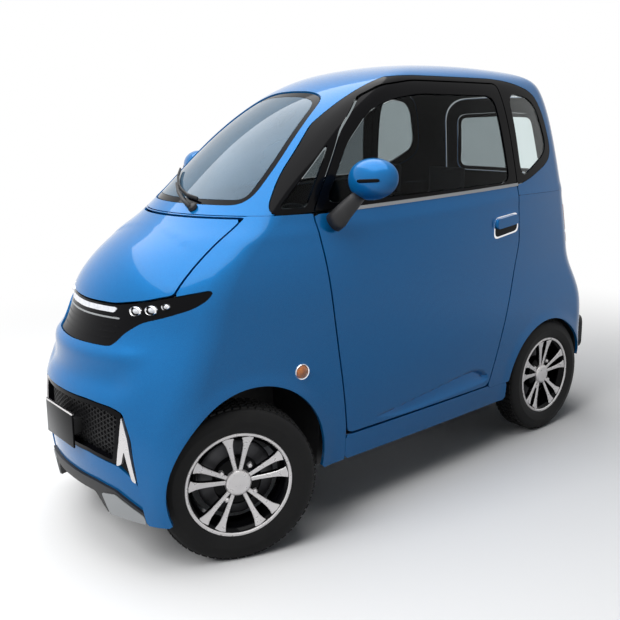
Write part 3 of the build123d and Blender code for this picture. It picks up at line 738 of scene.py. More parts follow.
# %% Patch helper
def cast(origin, direction):
    hit = skin_tree.ray_cast(Vector(origin), Vector(direction))[0]
    return np.array(hit) if hit is not None else None


FAR_AHEAD, FAR_ASIDE = 3.0, 2.0


def front_spot(y, z):
    """The skin's point seen from ahead at a distance from the middle and a height in mm."""
    return cast((FAR_AHEAD, y * MM, z * MM), (-1, 0, 0))


def patch(name, shape, view, material, body, slot, *nodes, sink=0.0, step=5.0, radius=8, thickness=0.006,
          round_off=0.001, mirrored=False, inner=None):
    """A sheet on the skin inside a shape. view is front, back, left or right. The shape is in mm."""
    shape = np.array(shape, float)
    low, high = shape.min(0) - 2 * step, shape.max(0) + 2 * step
    if mirrored:
        low[0] = -high[0]
        shape = np.array(across(shape), float)
    across_count = int((high[0] - low[0]) / step) + 2
    up_count = int((high[1] - low[1]) / step) + 2
    columns = np.linspace(low[0], high[0], across_count)
    levels = np.linspace(low[1], high[1], up_count)
    toward = {"front": (-1, 0, 0), "back": (1, 0, 0), "left": (0, -1, 0), "right": (0, 1, 0)}[view]
    sheet, real = [], []
    for z in levels:
        for c in columns:
            if view in ("front", "back"):
                start = (-FAR_AHEAD * toward[0], c * MM, z * MM)
            else:
                start = (c * MM, -FAR_ASIDE * toward[1], z * MM)
            hit = cast(start, toward)
            real.append(hit is not None)
            sheet.append(hit if hit is not None else np.zeros(3))
    sheet = np.array(sheet) + np.array(toward) * sink * MM
    a, b = np.meshgrid(columns, levels)
    reading = np.abs(a) if mirrored else a
    values = outside(shape, reading, b, radius).ravel()
    if inner is not None:
        values = np.maximum(values, -outside(np.array(inner, float), reading, b, radius).ravel())
    values[~np.array(real)] = FAR
    grid = np.arange(len(sheet)).reshape(up_count, across_count)
    cells = np.stack([grid[:-1, :-1], grid[:-1, 1:], grid[1:, 1:], grid[1:, :-1]], 2).reshape(-1, 4)
    points, faces = cut_sheet(sheet, cells, values)
    piece = mesh_piece(name, points, faces, material)
    aim = -Vector(toward)
    if sum(f.normal.dot(aim) * f.area for f in piece.data.polygons) < 0:
        piece.data.flip_normals()
    turn_edges(piece, thickness, round_off)
    settle(piece, body, slot, *nodes)
    print(name, len(piece.data.polygons), "faces")
    return piece


def patch_pairs(view, table):
    """Patches on both sides. A row has the name, left outline, finish, slot, node and settings."""
    for side_name, sign in SIDES:
        for name, shape, material, slot, node, settings in table:
            nodes = [f"{node}_{side_name}"] if node else []
            patch(f"{name}_{side_name}", [(y * sign, z) for y, z in shape], view, material, "chassis", slot,
                  *nodes, **settings)


# %% [markdown]
# ### Lamp bar
# One smoked cover runs across the nose. A pale light guide lies along its top, two small projectors sit in
# each arm with a smaller lamp beside them, and the mouth below is a dark slatted inlet.

# %% Lamp bar
patch("lamp_cover", LAMP_BAR, "front", black_gloss, "chassis", "black_gloss", "lamp_bar", sink=6, radius=14,
      mirrored=True, thickness=0.01)
LIGHT_STRIP = ((0, 784), (150, 790), (160, 802), (150, 806), (0, 800))
patch("light_guide_strip", LIGHT_STRIP, "front", light_guide, "chassis", "light_white", "light_strip",
      sink=3, step=3, radius=4, mirrored=True, thickness=0.008)
patch("mouth_line", ((0, 768), (176, 772), (178, 777), (0, 773)), "front", silver_plastic, "chassis",
      "silver_trim", sink=4, step=2.5, radius=2, mirrored=True, thickness=0.008)
for slat in range(3):
    height = 712 + 17 * slat
    half = 168 + 9 * slat
    patch(f"mouth_slat_{slat}", ((0, height), (half, height + 3), (half, height + 6), (0, height + 3)),
          "front", black_gloss, "chassis", "black_gloss", sink=4.5, step=3, radius=2, mirrored=True,
          thickness=0.01)


# %% Turned pieces
def turned(name, profile, materials, frame_matrix, segments=48, bands=None):
    """A lathe piece. The profile is a closed loop of radius and place along the frame's Z axis, in mm."""
    count = len(profile)
    points, faces, marks = [], [], []
    for s in range(segments):
        angle = 2 * math.pi * s / segments
        for radius, along in profile:
            x, y = radius * math.cos(angle) * MM, radius * math.sin(angle) * MM
            points.append(frame_matrix @ Vector((x, y, along * MM)))
    for s in range(segments):
        ahead = (s + 1) % segments
        for i in range(count):
            j = (i + 1) % count
            faces.append((s * count + i, s * count + j, ahead * count + j, ahead * count + i))
            marks.append(bands[i] if bands else 0)
    mesh = bpy.data.meshes.new(name)
    mesh.from_pydata([tuple(p) for p in points], [], faces)
    mesh.polygons.foreach_set("material_index", marks)
    clean_mesh(mesh, merge=0.00005, thinnest=0.00005)
    piece = stand(name, mesh, *materials)
    mesh.shade_smooth()
    mesh.set_sharp_from_angle(angle=math.radians(40))
    return piece


def facing(point, normal):
    """A frame at a point, its Z axis along the normal."""
    return Matrix.Translation(Vector(point)) @ Vector(normal).to_track_quat("Z", "Y").to_matrix().to_4x4()


def joined(name, pieces):
    """One mesh from several, all in place already."""
    bpy.ops.object.select_all(action="DESELECT")
    for piece in pieces:
        piece.select_set(True)
    bpy.context.view_layer.objects.active = pieces[0]
    bpy.ops.object.join()
    pieces[0].name = name
    pieces[0].data.name = name
    return pieces[0]


RING = [(20, 0), (20, 6), (17, 9), (14, 6), (14, 0)]
DOME = [(0.01, 2), (0.01, 8), (5, 7.4), (9, 5.6), (12, 3), (13.5, 2)]
for side_name, sign in SIDES:
    for number, (y, z) in enumerate(((222, 800), (268, 806), (304, 818))):
        spot = front_spot(y * sign, z)
        size = 1.0 if number < 2 else 0.62
        squash = Matrix.Diagonal((size * 1.15, size * 0.8, 1.3, 1))
        aim = facing(spot - np.array((0.012, 0, 0)), (1, 0.35 * sign, 0.05)) @ squash
        lamp = joined(f"projector_{side_name}_{number}", [
            turned("bezel", RING, (chrome,), aim, 32), turned("lens", DOME, (light_guide,), aim, 32)])
        settle(lamp, "chassis", "silver_trim")
print("projectors", 6)

# %% [markdown]
# ### Lower mouth
# A black honeycomb panel sits deep in the lower mouth, with a plain plate on two feet and a bright blade
# at each end. The honeycomb repeats one cell, so Geometry Nodes set out the cells, and the result becomes
# a plain mesh.


# %% Geometry Nodes helper
def node_recipe(name, settings):
    """A new node tree with named inputs, its input and output nodes, and the inputs' identifiers."""
    recipe = bpy.data.node_groups.new(name, "GeometryNodeTree")
    recipe.interface.new_socket("Geometry", in_out="INPUT", socket_type="NodeSocketGeometry")
    recipe.interface.new_socket("Geometry", in_out="OUTPUT", socket_type="NodeSocketGeometry")
    keys = {}
    for label, (kind, value) in settings.items():
        socket = recipe.interface.new_socket(label, in_out="INPUT", socket_type=kind)
        if value is not None:
            socket.default_value = value
        keys[label] = socket.identifier
    return recipe, recipe.nodes.new("NodeGroupInput"), recipe.nodes.new("NodeGroupOutput"), keys


def copies_at(recipe, points, inlet, source_name, outlet):
    """Sets a finished copy of the source at each point. Returns the node that sets the copies."""
    source = add_node(recipe, "GeometryNodeObjectInfo")
    spread = add_node(recipe, "GeometryNodeInstanceOnPoints")
    solid = add_node(recipe, "GeometryNodeRealizeInstances")
    coat = add_node(recipe, "GeometryNodeSetMaterial")
    wire(recipe, (inlet.outputs[source_name], source.inputs["Object"]), (points, spread.inputs["Points"]),
         (source.outputs["Geometry"], spread.inputs["Instance"]), (spread.outputs[0], solid.inputs[0]),
         (solid.outputs[0], coat.inputs["Geometry"]), (inlet.outputs["Finish"], coat.inputs["Material"]),
         (coat.outputs[0], outlet.inputs[0]))
    return spread


def bake_recipe(name, recipe, keys, values):
    """Runs a tree on an empty mesh and returns the result as a plain mesh."""
    holder = bpy.data.objects.new(name + "_recipe", bpy.data.meshes.new(name + "_recipe"))
    scene.collection.objects.link(holder)
    modifier = holder.modifiers.new("recipe", "NODES")
    modifier.node_group = recipe
    for label, value in values.items():
        modifier[keys[label]] = value
    return evaluated_mesh(holder, name)


def cell_mesh(sides, outer, inner, depth):
    """A short open prism ring, such as one cell of a honeycomb."""
    points, faces = [], []
    for radius, z in ((outer, 0), (outer, depth), (inner, depth), (inner, 0)):
        for k in range(sides):
            angle = 2 * math.pi * (k + 0.5) / sides
            points.append((radius * math.cos(angle), radius * math.sin(angle), z))
    for loop in range(4):
        for k in range(sides):
            a, b = loop * sides + k, loop * sides + (k + 1) % sides
            c, d = ((loop + 1) % 4) * sides + (k + 1) % sides, ((loop + 1) % 4) * sides + k
            faces.append((a, b, c, d))
    mesh = bpy.data.meshes.new("cell")
    mesh.from_pydata(points, [], faces)
    clean_mesh(mesh)
    return mesh


cell = bpy.data.objects.new("honeycomb_cell", cell_mesh(6, 0.0086, 0.0068, 0.006))
recipe, inlet, outlet, keys = node_recipe("honeycomb", {
    "Cell": ("NodeSocketObject", None), "Finish": ("NodeSocketMaterial", None),
    "Columns": ("NodeSocketInt", 38), "Rows": ("NodeSocketInt", 18), "Width": ("NodeSocketFloat", 0.58),
    "Height": ("NodeSocketFloat", 0.24)})
grid = add_node(recipe, "GeometryNodeMeshGrid")
number = add_node(recipe, "GeometryNodeInputIndex")
column = add_node(recipe, "ShaderNodeMath", "DIVIDE")
whole = add_node(recipe, "ShaderNodeMath", "FLOOR")
odd = add_node(recipe, "ShaderNodeMath", "MODULO")
odd.inputs[1].default_value = 2
rows_apart = add_node(recipe, "ShaderNodeMath", "DIVIDE")
full_step = add_node(recipe, "ShaderNodeMath", "MULTIPLY")
half_step = add_node(recipe, "ShaderNodeMath", "MULTIPLY")
half_step.inputs[1].default_value = 0.5
shift = add_node(recipe, "ShaderNodeCombineXYZ")
stagger = add_node(recipe, "GeometryNodeSetPosition")
GRID_INPUTS = {"Size X": "Width", "Size Y": "Height", "Vertices X": "Columns", "Vertices Y": "Rows"}
wire(recipe, *[(inlet.outputs[label], grid.inputs[socket]) for socket, label in GRID_INPUTS.items()],
     (inlet.outputs["Height"], rows_apart.inputs[0]), (inlet.outputs["Rows"], rows_apart.inputs[1]),
     (number.outputs[0], column.inputs[0]), (inlet.outputs["Rows"], column.inputs[1]),
     (column.outputs[0], whole.inputs[0]), (whole.outputs[0], odd.inputs[0]),
     (odd.outputs[0], full_step.inputs[0]), (rows_apart.outputs[0], full_step.inputs[1]),
     (full_step.outputs[0], half_step.inputs[0]), (half_step.outputs[0], shift.inputs["Y"]),
     (grid.outputs["Mesh"], stagger.inputs["Geometry"]), (shift.outputs[0], stagger.inputs["Offset"]))
copies_at(recipe, stagger.outputs[0], inlet, "Cell", outlet)
comb = bake_recipe("grille_honeycomb", recipe, keys, {
    "Cell": cell, "Finish": black_trim, "Columns": 43, "Rows": 15, "Width": 0.58, "Height": 0.215})
GRILLE = ((0, 538), (150, 534), (240, 525), (276, 512), (270, 430), (256, 352), (130, 368), (0, 372))
MESH_DEPTH = 0.034
MESH_MIDDLE = 0.445
placed = coordinates(comb)
for i, (u, v, w) in enumerate(placed.tolist()):
    spot = cast((FAR_AHEAD, u, MESH_MIDDLE + v), (-1, 0, 0))
    placed[i] = (spot[0] - MESH_DEPTH + w, u, MESH_MIDDLE + v)
comb.vertices.foreach_set("co", placed.ravel())
work = bmesh.new()
work.from_mesh(comb)
centres = np.array([tuple(f.calc_center_median()) for f in work.faces]) / MM
beyond = outside(across(GRILLE), np.abs(centres[:, 1]), centres[:, 2], 10) > -4
work.faces.ensure_lookup_table()
bmesh.ops.delete(work, geom=[f for f, drop in zip(work.faces[:], beyond) if drop], context="FACES")
bmesh.ops.recalc_face_normals(work, faces=work.faces)
work.to_mesh(comb)
work.free()
honeycomb = stand("grille_honeycomb", comb)
settle(honeycomb, "chassis", "black_trim")
print("honeycomb faces", len(comb.polygons))

# %% Lower mouth panels
patch("grille_back", GRILLE, "front", dark_lining, "chassis", "black_trim", "lower_grille", sink=42,
      radius=10, mirrored=True, thickness=0.004)
inner_grille = [(y - 14 if y > 200 else y, z - 12 if z > 450 else z + 12) for y, z in GRILLE]
patch("grille_rim", GRILLE, "front", black_gloss, "chassis", "black_gloss", sink=8, radius=8, mirrored=True,
      step=4, thickness=0.036, inner=across(inner_grille))
LIP = ((0, 282), (150, 275), (236, 262), (337, 206), (339, 172), (300, 160), (190, 160), (140, 236), (0, 242))
patch("skid_lip", LIP, "front", black_trim, "chassis", "black_trim", "bumper_lip", sink=4, radius=8,
      mirrored=True, thickness=0.02)
BLADE = ((282, 506), (304, 440), (326, 306), (312, 312), (292, 404), (281, 360), (262, 350), (276, 430))
POCKET = ((276, 512), (318, 442), (331, 330), (334, 285), (262, 350))
SKID_CORNER = ((176, 240), (236, 250), (335, 198), (338, 174), (300, 163), (196, 163))
patch_pairs("front", (
    ("mouth_blade", BLADE, bright_metal, "silver_trim", "bumper_blade",
     dict(sink=2, radius=6, step=3, thickness=0.012)),
    ("blade_pocket", POCKET, black_gloss, "black_gloss", None, dict(sink=16, radius=8, thickness=0.006)),
    ("skid_corner", SKID_CORNER, silver_plastic, "silver_trim", None,
     dict(sink=1, radius=8, thickness=0.012))))


# %% Rounded boxes
def bar_box(name, size, material, matrix, round_off=0.003, segments=3):
    """A box with rounded edges, given by its full size and its place."""
    mesh = bpy.data.meshes.new(name)
    work = bmesh.new()
    bmesh.ops.create_cube(work, size=1)
    bmesh.ops.scale(work, vec=Vector(size), verts=work.verts)
    bmesh.ops.bevel(work, geom=work.edges[:], offset=round_off, segments=segments, profile=0.5,
                    affect="EDGES")
    bmesh.ops.transform(work, matrix=matrix, verts=work.verts)
    work.to_mesh(mesh)
    work.free()
    mesh.shade_smooth()
    mesh.set_sharp_from_angle(angle=math.radians(50))
    return stand(name, mesh, material)


def box_group(name, rows):
    """One piece from rounded boxes. A row has a name, size, finish, place or frame, and edge radius."""
    boxes = []
    for label, size, material, at, edge in rows:
        boxes.append(bar_box(label, size, material, at if isinstance(at, Matrix) else Matrix.Translation(at),
                             edge))
    return joined(name, boxes)


plate_low, plate_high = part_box("plate_holder")
plate_middle = (plate_low + plate_high) / 2
plate_size = plate_high - plate_low
PLATE_BACK = 0.016
face_x = plate_high.x - PLATE_BACK
y, z = plate_middle.y, plate_middle.z
plate = box_group("number_plate", (
    ("plate", (0.006, plate_size.y, plate_size.z), black_gloss, (face_x, y, z), 0.002),
    ("plate_rim_top", (0.008, plate_size.y, 0.006), bright_metal, (face_x, y, z + plate_size.z / 2 - 0.004),
     0.0015),
    ("plate_foot_a", (0.05, 0.03, 0.05), black_trim, (face_x - 0.026, y + 0.06, z), 0.004),
    ("plate_foot_b", (0.05, 0.03, 0.05), black_trim, (face_x - 0.026, y - 0.06, z), 0.004)))
settle(plate, "chassis", "black_trim", "plate_holder")
print("plate", [round(v, 3) for v in plate_size])

# %% [markdown]
# ### Side details
# Each door carries a pod mirror on a black foot, a pull handle over a dark cup, and a strip along the belt.
# A round amber repeater with a bright ring sits on each wing.


# %% Mirrors, handles, strips and repeaters
def egg(name, centre, front, rear, wide, high, material, sign):
    """A closed pod, deep at the front and shallow behind, wide along Y."""
    points = []
    rings, around = 28, 48
    for i in range(rings + 1):
        theta = math.pi * i / rings
        for k in range(around):
            phi = 2 * math.pi * k / around
            y = math.cos(theta)
            bulge = math.sin(theta) ** POD_ROUND
            c, s = math.cos(phi), math.sin(phi)
            x = bulge * math.copysign(abs(c) ** 0.95, c) * (front if c > 0 else rear)
            z = bulge * math.copysign(abs(s) ** 0.95, s) * high * (1 - 0.1 * y)
            points.append((centre[0] + x - POD_SWEEP * y, centre[1] + y * wide * sign,
                           centre[2] + z + POD_LIFT * y))
    return mesh_piece(name, points, band_faces(rings + 1, around), material, closed=True)


def swept(name, path, sizes, material, sides=20):
    """A closed arm: an oval swept along a path. sizes are the half width and half height at each point."""
    points = []
    path = [Vector(p) for p in path]
    for i, (point, (w, h)) in enumerate(zip(path, sizes)):
        ahead = path[min(i + 1, len(path) - 1)] - path[max(i - 1, 0)]
        turn = ahead.to_track_quat("Z", "Y").to_matrix()
        for k in range(sides):
            angle = 2 * math.pi * k / sides
            points.append(tuple(point + turn @ Vector((w * math.cos(angle), h * math.sin(angle), 0))))
    faces = band_faces(len(path), sides)
    faces.append(tuple(range(sides))[::-1])
    faces.append(tuple(range((len(path) - 1) * sides, len(path) * sides)))
    return mesh_piece(name, points, faces, material, closed=True)


POD = dict(front=0.062, rear=0.034, wide=0.0915, high=0.068)
POD_X, POD_Y, POD_Z = 0.35, 0.541, 1.182
POD_ROUND, POD_SWEEP, POD_LIFT = 0.86, 0.012, 0.006
SLIT_ENDS, SLIT_MIDDLE = (0.003, 0.0035), (0.003, 0.006)
FOOT_PATH = ((0.43, 0.428, 1.036), (0.425, 0.446, 1.05), (0.412, 0.462, 1.075), (0.392, 0.482, 1.105),
             (0.376, 0.5, 1.13))
FOOT_SIZES = ((0.03, 0.034), (0.031, 0.034), (0.028, 0.03), (0.023, 0.026), (0.02, 0.022))
REPEATER_RING = [(27, 0), (27, 5), (24.5, 8), (22, 6), (21, 0)]
REPEATER_LENS = [(0.01, 0), (0.01, 13), (8, 12.2), (15, 9.5), (20, 6), (21.5, 3), (21.5, 0)]
STRIP = ((400, 1068), (0, 1086), (-548, 1109), (-548, 1121), (0, 1098), (400, 1080))
HANDLE = ((-374, 990), (-532, 1004), (-538, 924), (-368, 904))
GRIP = ((-384, 985), (-524, 998), (-527, 958), (-380, 944))
CUP = ((-380, 984), (-526, 998), (-531, 930), (-375, 911))
for side_name, sign in SIDES:
    door = f"door_{side_name}"
    pod_y = POD_Y * sign
    pod = egg(f"mirror_pod_{side_name}", (POD_X, pod_y, POD_Z), **POD, material=blue_paint, sign=sign)
    settle(pod, door, "body_paint", f"mirror_{side_name}")
    slit_path = []
    for k in range(13):
        reach = -0.15 + 0.07 * k
        bulge = math.sin(math.acos(reach)) ** POD_ROUND
        slit_path.append((POD_X - 0.0005 + POD["front"] * bulge - POD_SWEEP * reach,
                          pod_y + POD["wide"] * reach * sign, POD_Z - 0.004 + POD_LIFT * reach))
    slit = swept(f"mirror_slit_{side_name}", slit_path, [SLIT_ENDS] + [SLIT_MIDDLE] * 11 + [SLIT_ENDS],
                 black_gloss)
    settle(slit, door, "black_gloss")
    foot = swept(f"mirror_foot_{side_name}", [(x, y * sign, z) for x, y, z in FOOT_PATH], FOOT_SIZES,
                 black_trim)
    settle(foot, door, "black_trim")
    patch(f"handle_rim_{side_name}", HANDLE, side_name, chrome, door, "silver_trim",
          f"door_handle_{side_name}", sink=-4, radius=26, step=3, thickness=0.012, round_off=0.003, inner=CUP)
    patch(f"handle_cup_{side_name}", CUP, side_name, black_gloss, door, "black_gloss", sink=-1, radius=22,
          step=4, thickness=0.004)
    patch(f"handle_grip_{side_name}", GRIP, side_name, blue_paint, door, "body_paint", sink=-16, radius=18,
          step=3, thickness=0.012, round_off=0.004)
    patch(f"belt_strip_{side_name}", STRIP, side_name, silver_plastic, door, "silver_trim", sink=-2,
          radius=3, step=4, thickness=0.008, round_off=0.002)
    spot = cast((0.593, FAR_ASIDE * sign, 0.568), (0, -sign, 0))
    base = facing(spot - np.array((0, 0.003 * sign, 0)), (0.12, sign, 0))
    repeater = joined(f"wing_repeater_{side_name}", [
        turned("ring", REPEATER_RING, (chrome,), base, 40),
        turned("lens", REPEATER_LENS, (amber_lens,), base, 40)])
    settle(repeater, "chassis", "lamp_amber", f"side_repeater_{side_name}")
print("side details done")

# %% Wiper
spots = [front_spot(y, z) for y, z in ((128, 1086), (70, 1104), (10, 1124), (-60, 1150), (-130, 1172))]
arm = swept("wiper_arm", [tuple(p + np.array((0.012, 0, 0.006))) for p in spots[:4]],
            [(0.009, 0.007), (0.007, 0.006), (0.006, 0.005), (0.005, 0.004)], black_trim, 12)
blade = swept("wiper_blade", [tuple(front_spot(y, z) + np.array((0.006, 0, 0.003)))
                              for y, z in ((118, 1112), (60, 1120), (0, 1134), (-60, 1150), (-130, 1172),
                                           (-190, 1192))],
              [(0.004, 0.007)] * 6, black_trim, 10)
pivot = turned("wiper_pivot", [(0.01, 0), (0.01, 16), (8, 15), (14, 11), (16, 4), (16, 0)], (black_trim,),
               facing(spots[0], (0.8, 0, 1)), 24)
wiper = joined("wiper", [arm, blade, pivot])
settle(wiper, "chassis", "black_trim")

# %% [markdown]
# ### Tail
# Each tail lamp is a red lens over an amber foot in a black frame. The bumper is a dark moulding wrapped
# round the tail, with two reflectors and a plain plate between them. A bright bar on the tailgate hides
# its grip.

# %% Tail lamps, bumper and plate
LAMP_FRAME = ((344, 818), (414, 818), (410, 1012), (351, 1012))
LAMP_RED = ((352, 884), (404, 884), (401, 1003), (358, 1003))
LAMP_AMBER = ((351, 827), (405, 827), (404, 876), (352, 876))
REFLECTOR = ((250, 398), (352, 396), (352, 420), (250, 422))
BUMPER = ((0, 470), (330, 470), (425, 452), (430, 330), (395, 300), (0, 300))
LENS = dict(sink=-3, radius=12, step=4, thickness=0.008, round_off=0.002)
patch_pairs("back", (
    ("tail_lamp_frame", LAMP_FRAME, black_gloss, "black_gloss", "tail_lamp",
     dict(sink=3, radius=14, thickness=0.012)),
    ("tail_lamp_red", LAMP_RED, red_lens, "lamp_red", None, LENS),
    ("tail_lamp_amber", LAMP_AMBER, amber_lens, "lamp_amber", None, LENS),
    ("rear_reflector", REFLECTOR, red_lens, "lamp_red", None,
     dict(sink=-37, radius=8, step=4, thickness=0.006, round_off=0.002))))
patch("tail_bumper", BUMPER, "back", black_trim, "chassis", "black_trim", "rear_bumper", sink=-34, radius=26,
      mirrored=True, thickness=0.036, round_off=0.006)
patch("rear_plate", ((0, 330), (105, 330), (105, 442), (0, 442)), "back", black_gloss, "chassis",
      "black_gloss", sink=-38, radius=6, mirrored=True, thickness=0.006)
patch("gate_grip", ((0, 800), (150, 802), (156, 816), (150, 828), (0, 830)), "back", chrome, "tailgate",
      "silver_trim", sink=-9, radius=8, mirrored=True, step=4, thickness=0.01, round_off=0.003)
print("tail pieces done")

# %% [markdown]
# ## Wheels
# Each alloy has ten thin spokes in five pairs that widen towards a bright lip. Their outer faces are
# machined bare and the pockets between them stay black. Each wheel is built about its own axle, in the
# frame of its hub.


# %% One wheel's parts
LIP_PROFILE = [(158, 51), (161, 54), (167, 54), (170, 51), (170, 44), (152, 40), (146, 20), (146, -34),
               (160, -50), (169, -52), (169, -47), (156, -42), (141, -30), (141, 18), (147, 42)]
LIP_BANDS = [0, 0, 0, 0] + [1] * 11
HUB_PROFILE = [(0.01, -20), (0.01, 26), (50, 28), (68, 26), (76, 20), (76, -20)]
CAP_PROFILE = [(0.01, 26), (0.01, 44), (14, 43.6), (26, 42.4), (31, 43), (37, 41.5), (41, 38), (43, 32),
               (43, 26)]
DISC_PROFILE = [(40, -34), (40, -8), (112, -8), (122, -14), (122, -34)]
BOLT_PROFILE = [(0.01, 22), (0.01, 39), (6, 38.5), (8.5, 36), (9.5, 30), (9.5, 22)]
STATIONS = ((36, 7.0, 7.0, 33), (52, 10.5, 7.0, 35), (80, 16.5, 7.6, 39), (108, 22.5, 9.0, 43),
            (128, 27, 11.5, 46), (142, 30.5, 16, 48.5), (153, 33, 21, 50))


def spokes(name, frame_matrix):
    points, faces, marks = [], [], []
    for pair in range(5):
        turn = Matrix.Rotation(math.radians(72 * pair + 90), 3, "Z")
        for lean in (-1, 1):
            first = len(points)
            for radius, offset, half, top in STATIONS:
                ring_points = ((-half + 1.6, top), (half - 1.6, top), (half, top - 1.8),
                               (half - 1, top - 20), (-half + 1, top - 20), (-half, top - 1.8))
                for t, z in ring_points:
                    points.append(frame_matrix @ (turn @ Vector((radius, lean * offset + t, z)) * MM))
            count = 6
            for s in range(len(STATIONS) - 1):
                for k in range(count):
                    a, b = first + s * count + k, first + s * count + (k + 1) % count
                    faces.append((a, b, b + count, a + count))
                    marks.append(0 if k in (0, 1, 5) else 1)
            faces.append(tuple(first + k for k in range(count))[::-1])
            faces.append(tuple(first + (len(STATIONS) - 1) * count + k for k in range(count)))
            marks += [1, 1]
    mesh = bpy.data.meshes.new(name)
    mesh.from_pydata([tuple(p) for p in points], [], faces)
    mesh.polygons.foreach_set("material_index", marks)
    clean_mesh(mesh)
    return stand(name, mesh, bright_metal, black_gloss)


# %% [markdown]
# ### Tyres
# The tyre is a plain turned carcass. Its four rows of tread blocks repeat round the wheel, so Geometry
# Nodes set one block at each point of a circle.

# %% Tread recipe
recipe, inlet, outlet, keys = node_recipe("tread_round", {
    "Block": ("NodeSocketObject", None), "Finish": ("NodeSocketMaterial", None),
    "Count": ("NodeSocketInt", 64), "Radius": ("NodeSocketFloat", 0.24)})
loop = add_node(recipe, "GeometryNodeMeshCircle")
where = add_node(recipe, "GeometryNodeInputPosition")
lean = add_node(recipe, "FunctionNodeAlignRotationToVector")
lean.axis = "X"
lean.pivot_axis = "Z"
spread = copies_at(recipe, loop.outputs["Mesh"], inlet, "Block", outlet)
wire(recipe, (inlet.outputs["Count"], loop.inputs["Vertices"]),
     (inlet.outputs["Radius"], loop.inputs["Radius"]), (where.outputs[0], lean.inputs["Vector"]),
     (lean.outputs["Rotation"], spread.inputs["Rotation"]))


def tread_block(name, long, wide, deep, skew, at):
    """One block of tread: deep along X, long round the tyre, wide across it, and skewed."""
    points = []
    for x, grow in ((-deep, 1.0), (0.0, 0.9)):
        for t, w in ((-1, -1), (1, -1), (1, 1), (-1, 1)):
            points.append((x * MM, (t * long / 2 * grow + skew * w) * MM, (at + w * wide / 2 * grow) * MM))
    faces = [(3, 2, 1, 0), (4, 5, 6, 7), (0, 1, 5, 4), (1, 2, 6, 5), (2, 3, 7, 6), (3, 0, 4, 7)]
    mesh = bpy.data.meshes.new(name)
    mesh.from_pydata(points, [], faces)
    return bpy.data.objects.new(name, mesh)


BLOCKS = ((18, 17, 8, 3, 36, 249.0, 64), (18, 17, 8, 3, -36, 249.0, 64), (16, 17, 7, 4, 12, 249.6, 64),
          (16, 17, 7, 4, -12, 249.6, 64))
tread_meshes = []
for number, (long, wide, deep, skew, at, radius, count) in enumerate(BLOCKS):
    block = tread_block(f"tread_block_{number}", long, wide, deep, skew, at)
    tread_meshes.append(bake_recipe(f"tread_{number}", recipe, keys,
                                    {"Block": block, "Finish": rubber, "Count": count,
                                     "Radius": radius * MM}))
print("tread faces", sum(len(m.polygons) for m in tread_meshes))
TYRE_PROFILE = [(168, 52), (176, 57), (190, 61.5), (204, 63), (206, 63.6), (208, 63), (222, 60.5), (234, 56),
                (241, 51), (243.5, 46), (243.5, 0), (243.5, -46), (241, -51), (234, -56), (222, -60.5),
                (204, -63), (190, -61.5), (176, -57), (168, -52), (160, -46), (160, 46)]

# %% Set the wheels
for corner in ("front_left", "front_right", "rear_left", "rear_right"):
    low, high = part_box(f"tyre_{corner}")
    centre = (low + high) / 2
    out = 1 if "left" in corner else -1
    swing = math.radians(22) if "front" in corner else 0.0
    axis = Vector((math.sin(swing), math.cos(swing), 0)) * out
    hub = Matrix.Translation(centre) @ axis.to_track_quat("Z", "Y").to_matrix().to_4x4()
    parts = [turned("lip", LIP_PROFILE, (bright_metal, black_gloss), hub, 96, LIP_BANDS),
             spokes("spokes", hub), turned("hub", HUB_PROFILE, (black_gloss,), hub, 48),
             turned("cap", CAP_PROFILE, (bright_metal,), hub, 48),
             turned("disc", DISC_PROFILE, (steel,), hub, 48)]
    for k in range(4):
        angle = math.radians(45 + 90 * k + 9)
        spot = Matrix.Translation((64 * math.cos(angle) * MM, 64 * math.sin(angle) * MM, 0))
        parts.append(turned("bolt", BOLT_PROFILE, (bright_metal,), hub @ spot, 6))
    alloy = joined(f"alloy_{corner}", parts)
    settle(alloy, f"wheel_{corner}", "rim_alloy", f"rim_{corner}")
    carcass = turned("carcass", TYRE_PROFILE, (rubber,), hub, 120)
    rows = []
    for mesh in tread_meshes:
        copy = mesh.copy()
        copy.transform(hub)
        rows.append(stand("tread_row", copy))
    tyre = joined(f"tyre_dressed_{corner}", [carcass] + rows)
    settle(tyre, f"wheel_{corner}", "tyre_rubber", f"tyre_{corner}")
    print(corner, len(alloy.data.polygons), len(tyre.data.polygons))

# %% [markdown]
# ## Seats
# Each seat is a cushion, a back and a head pad in dark cloth, on a moulded base. A pad starts as a
# rounded block a little too small, and a cloth simulation blows it up. Sewn channels are pressed in
# afterwards.


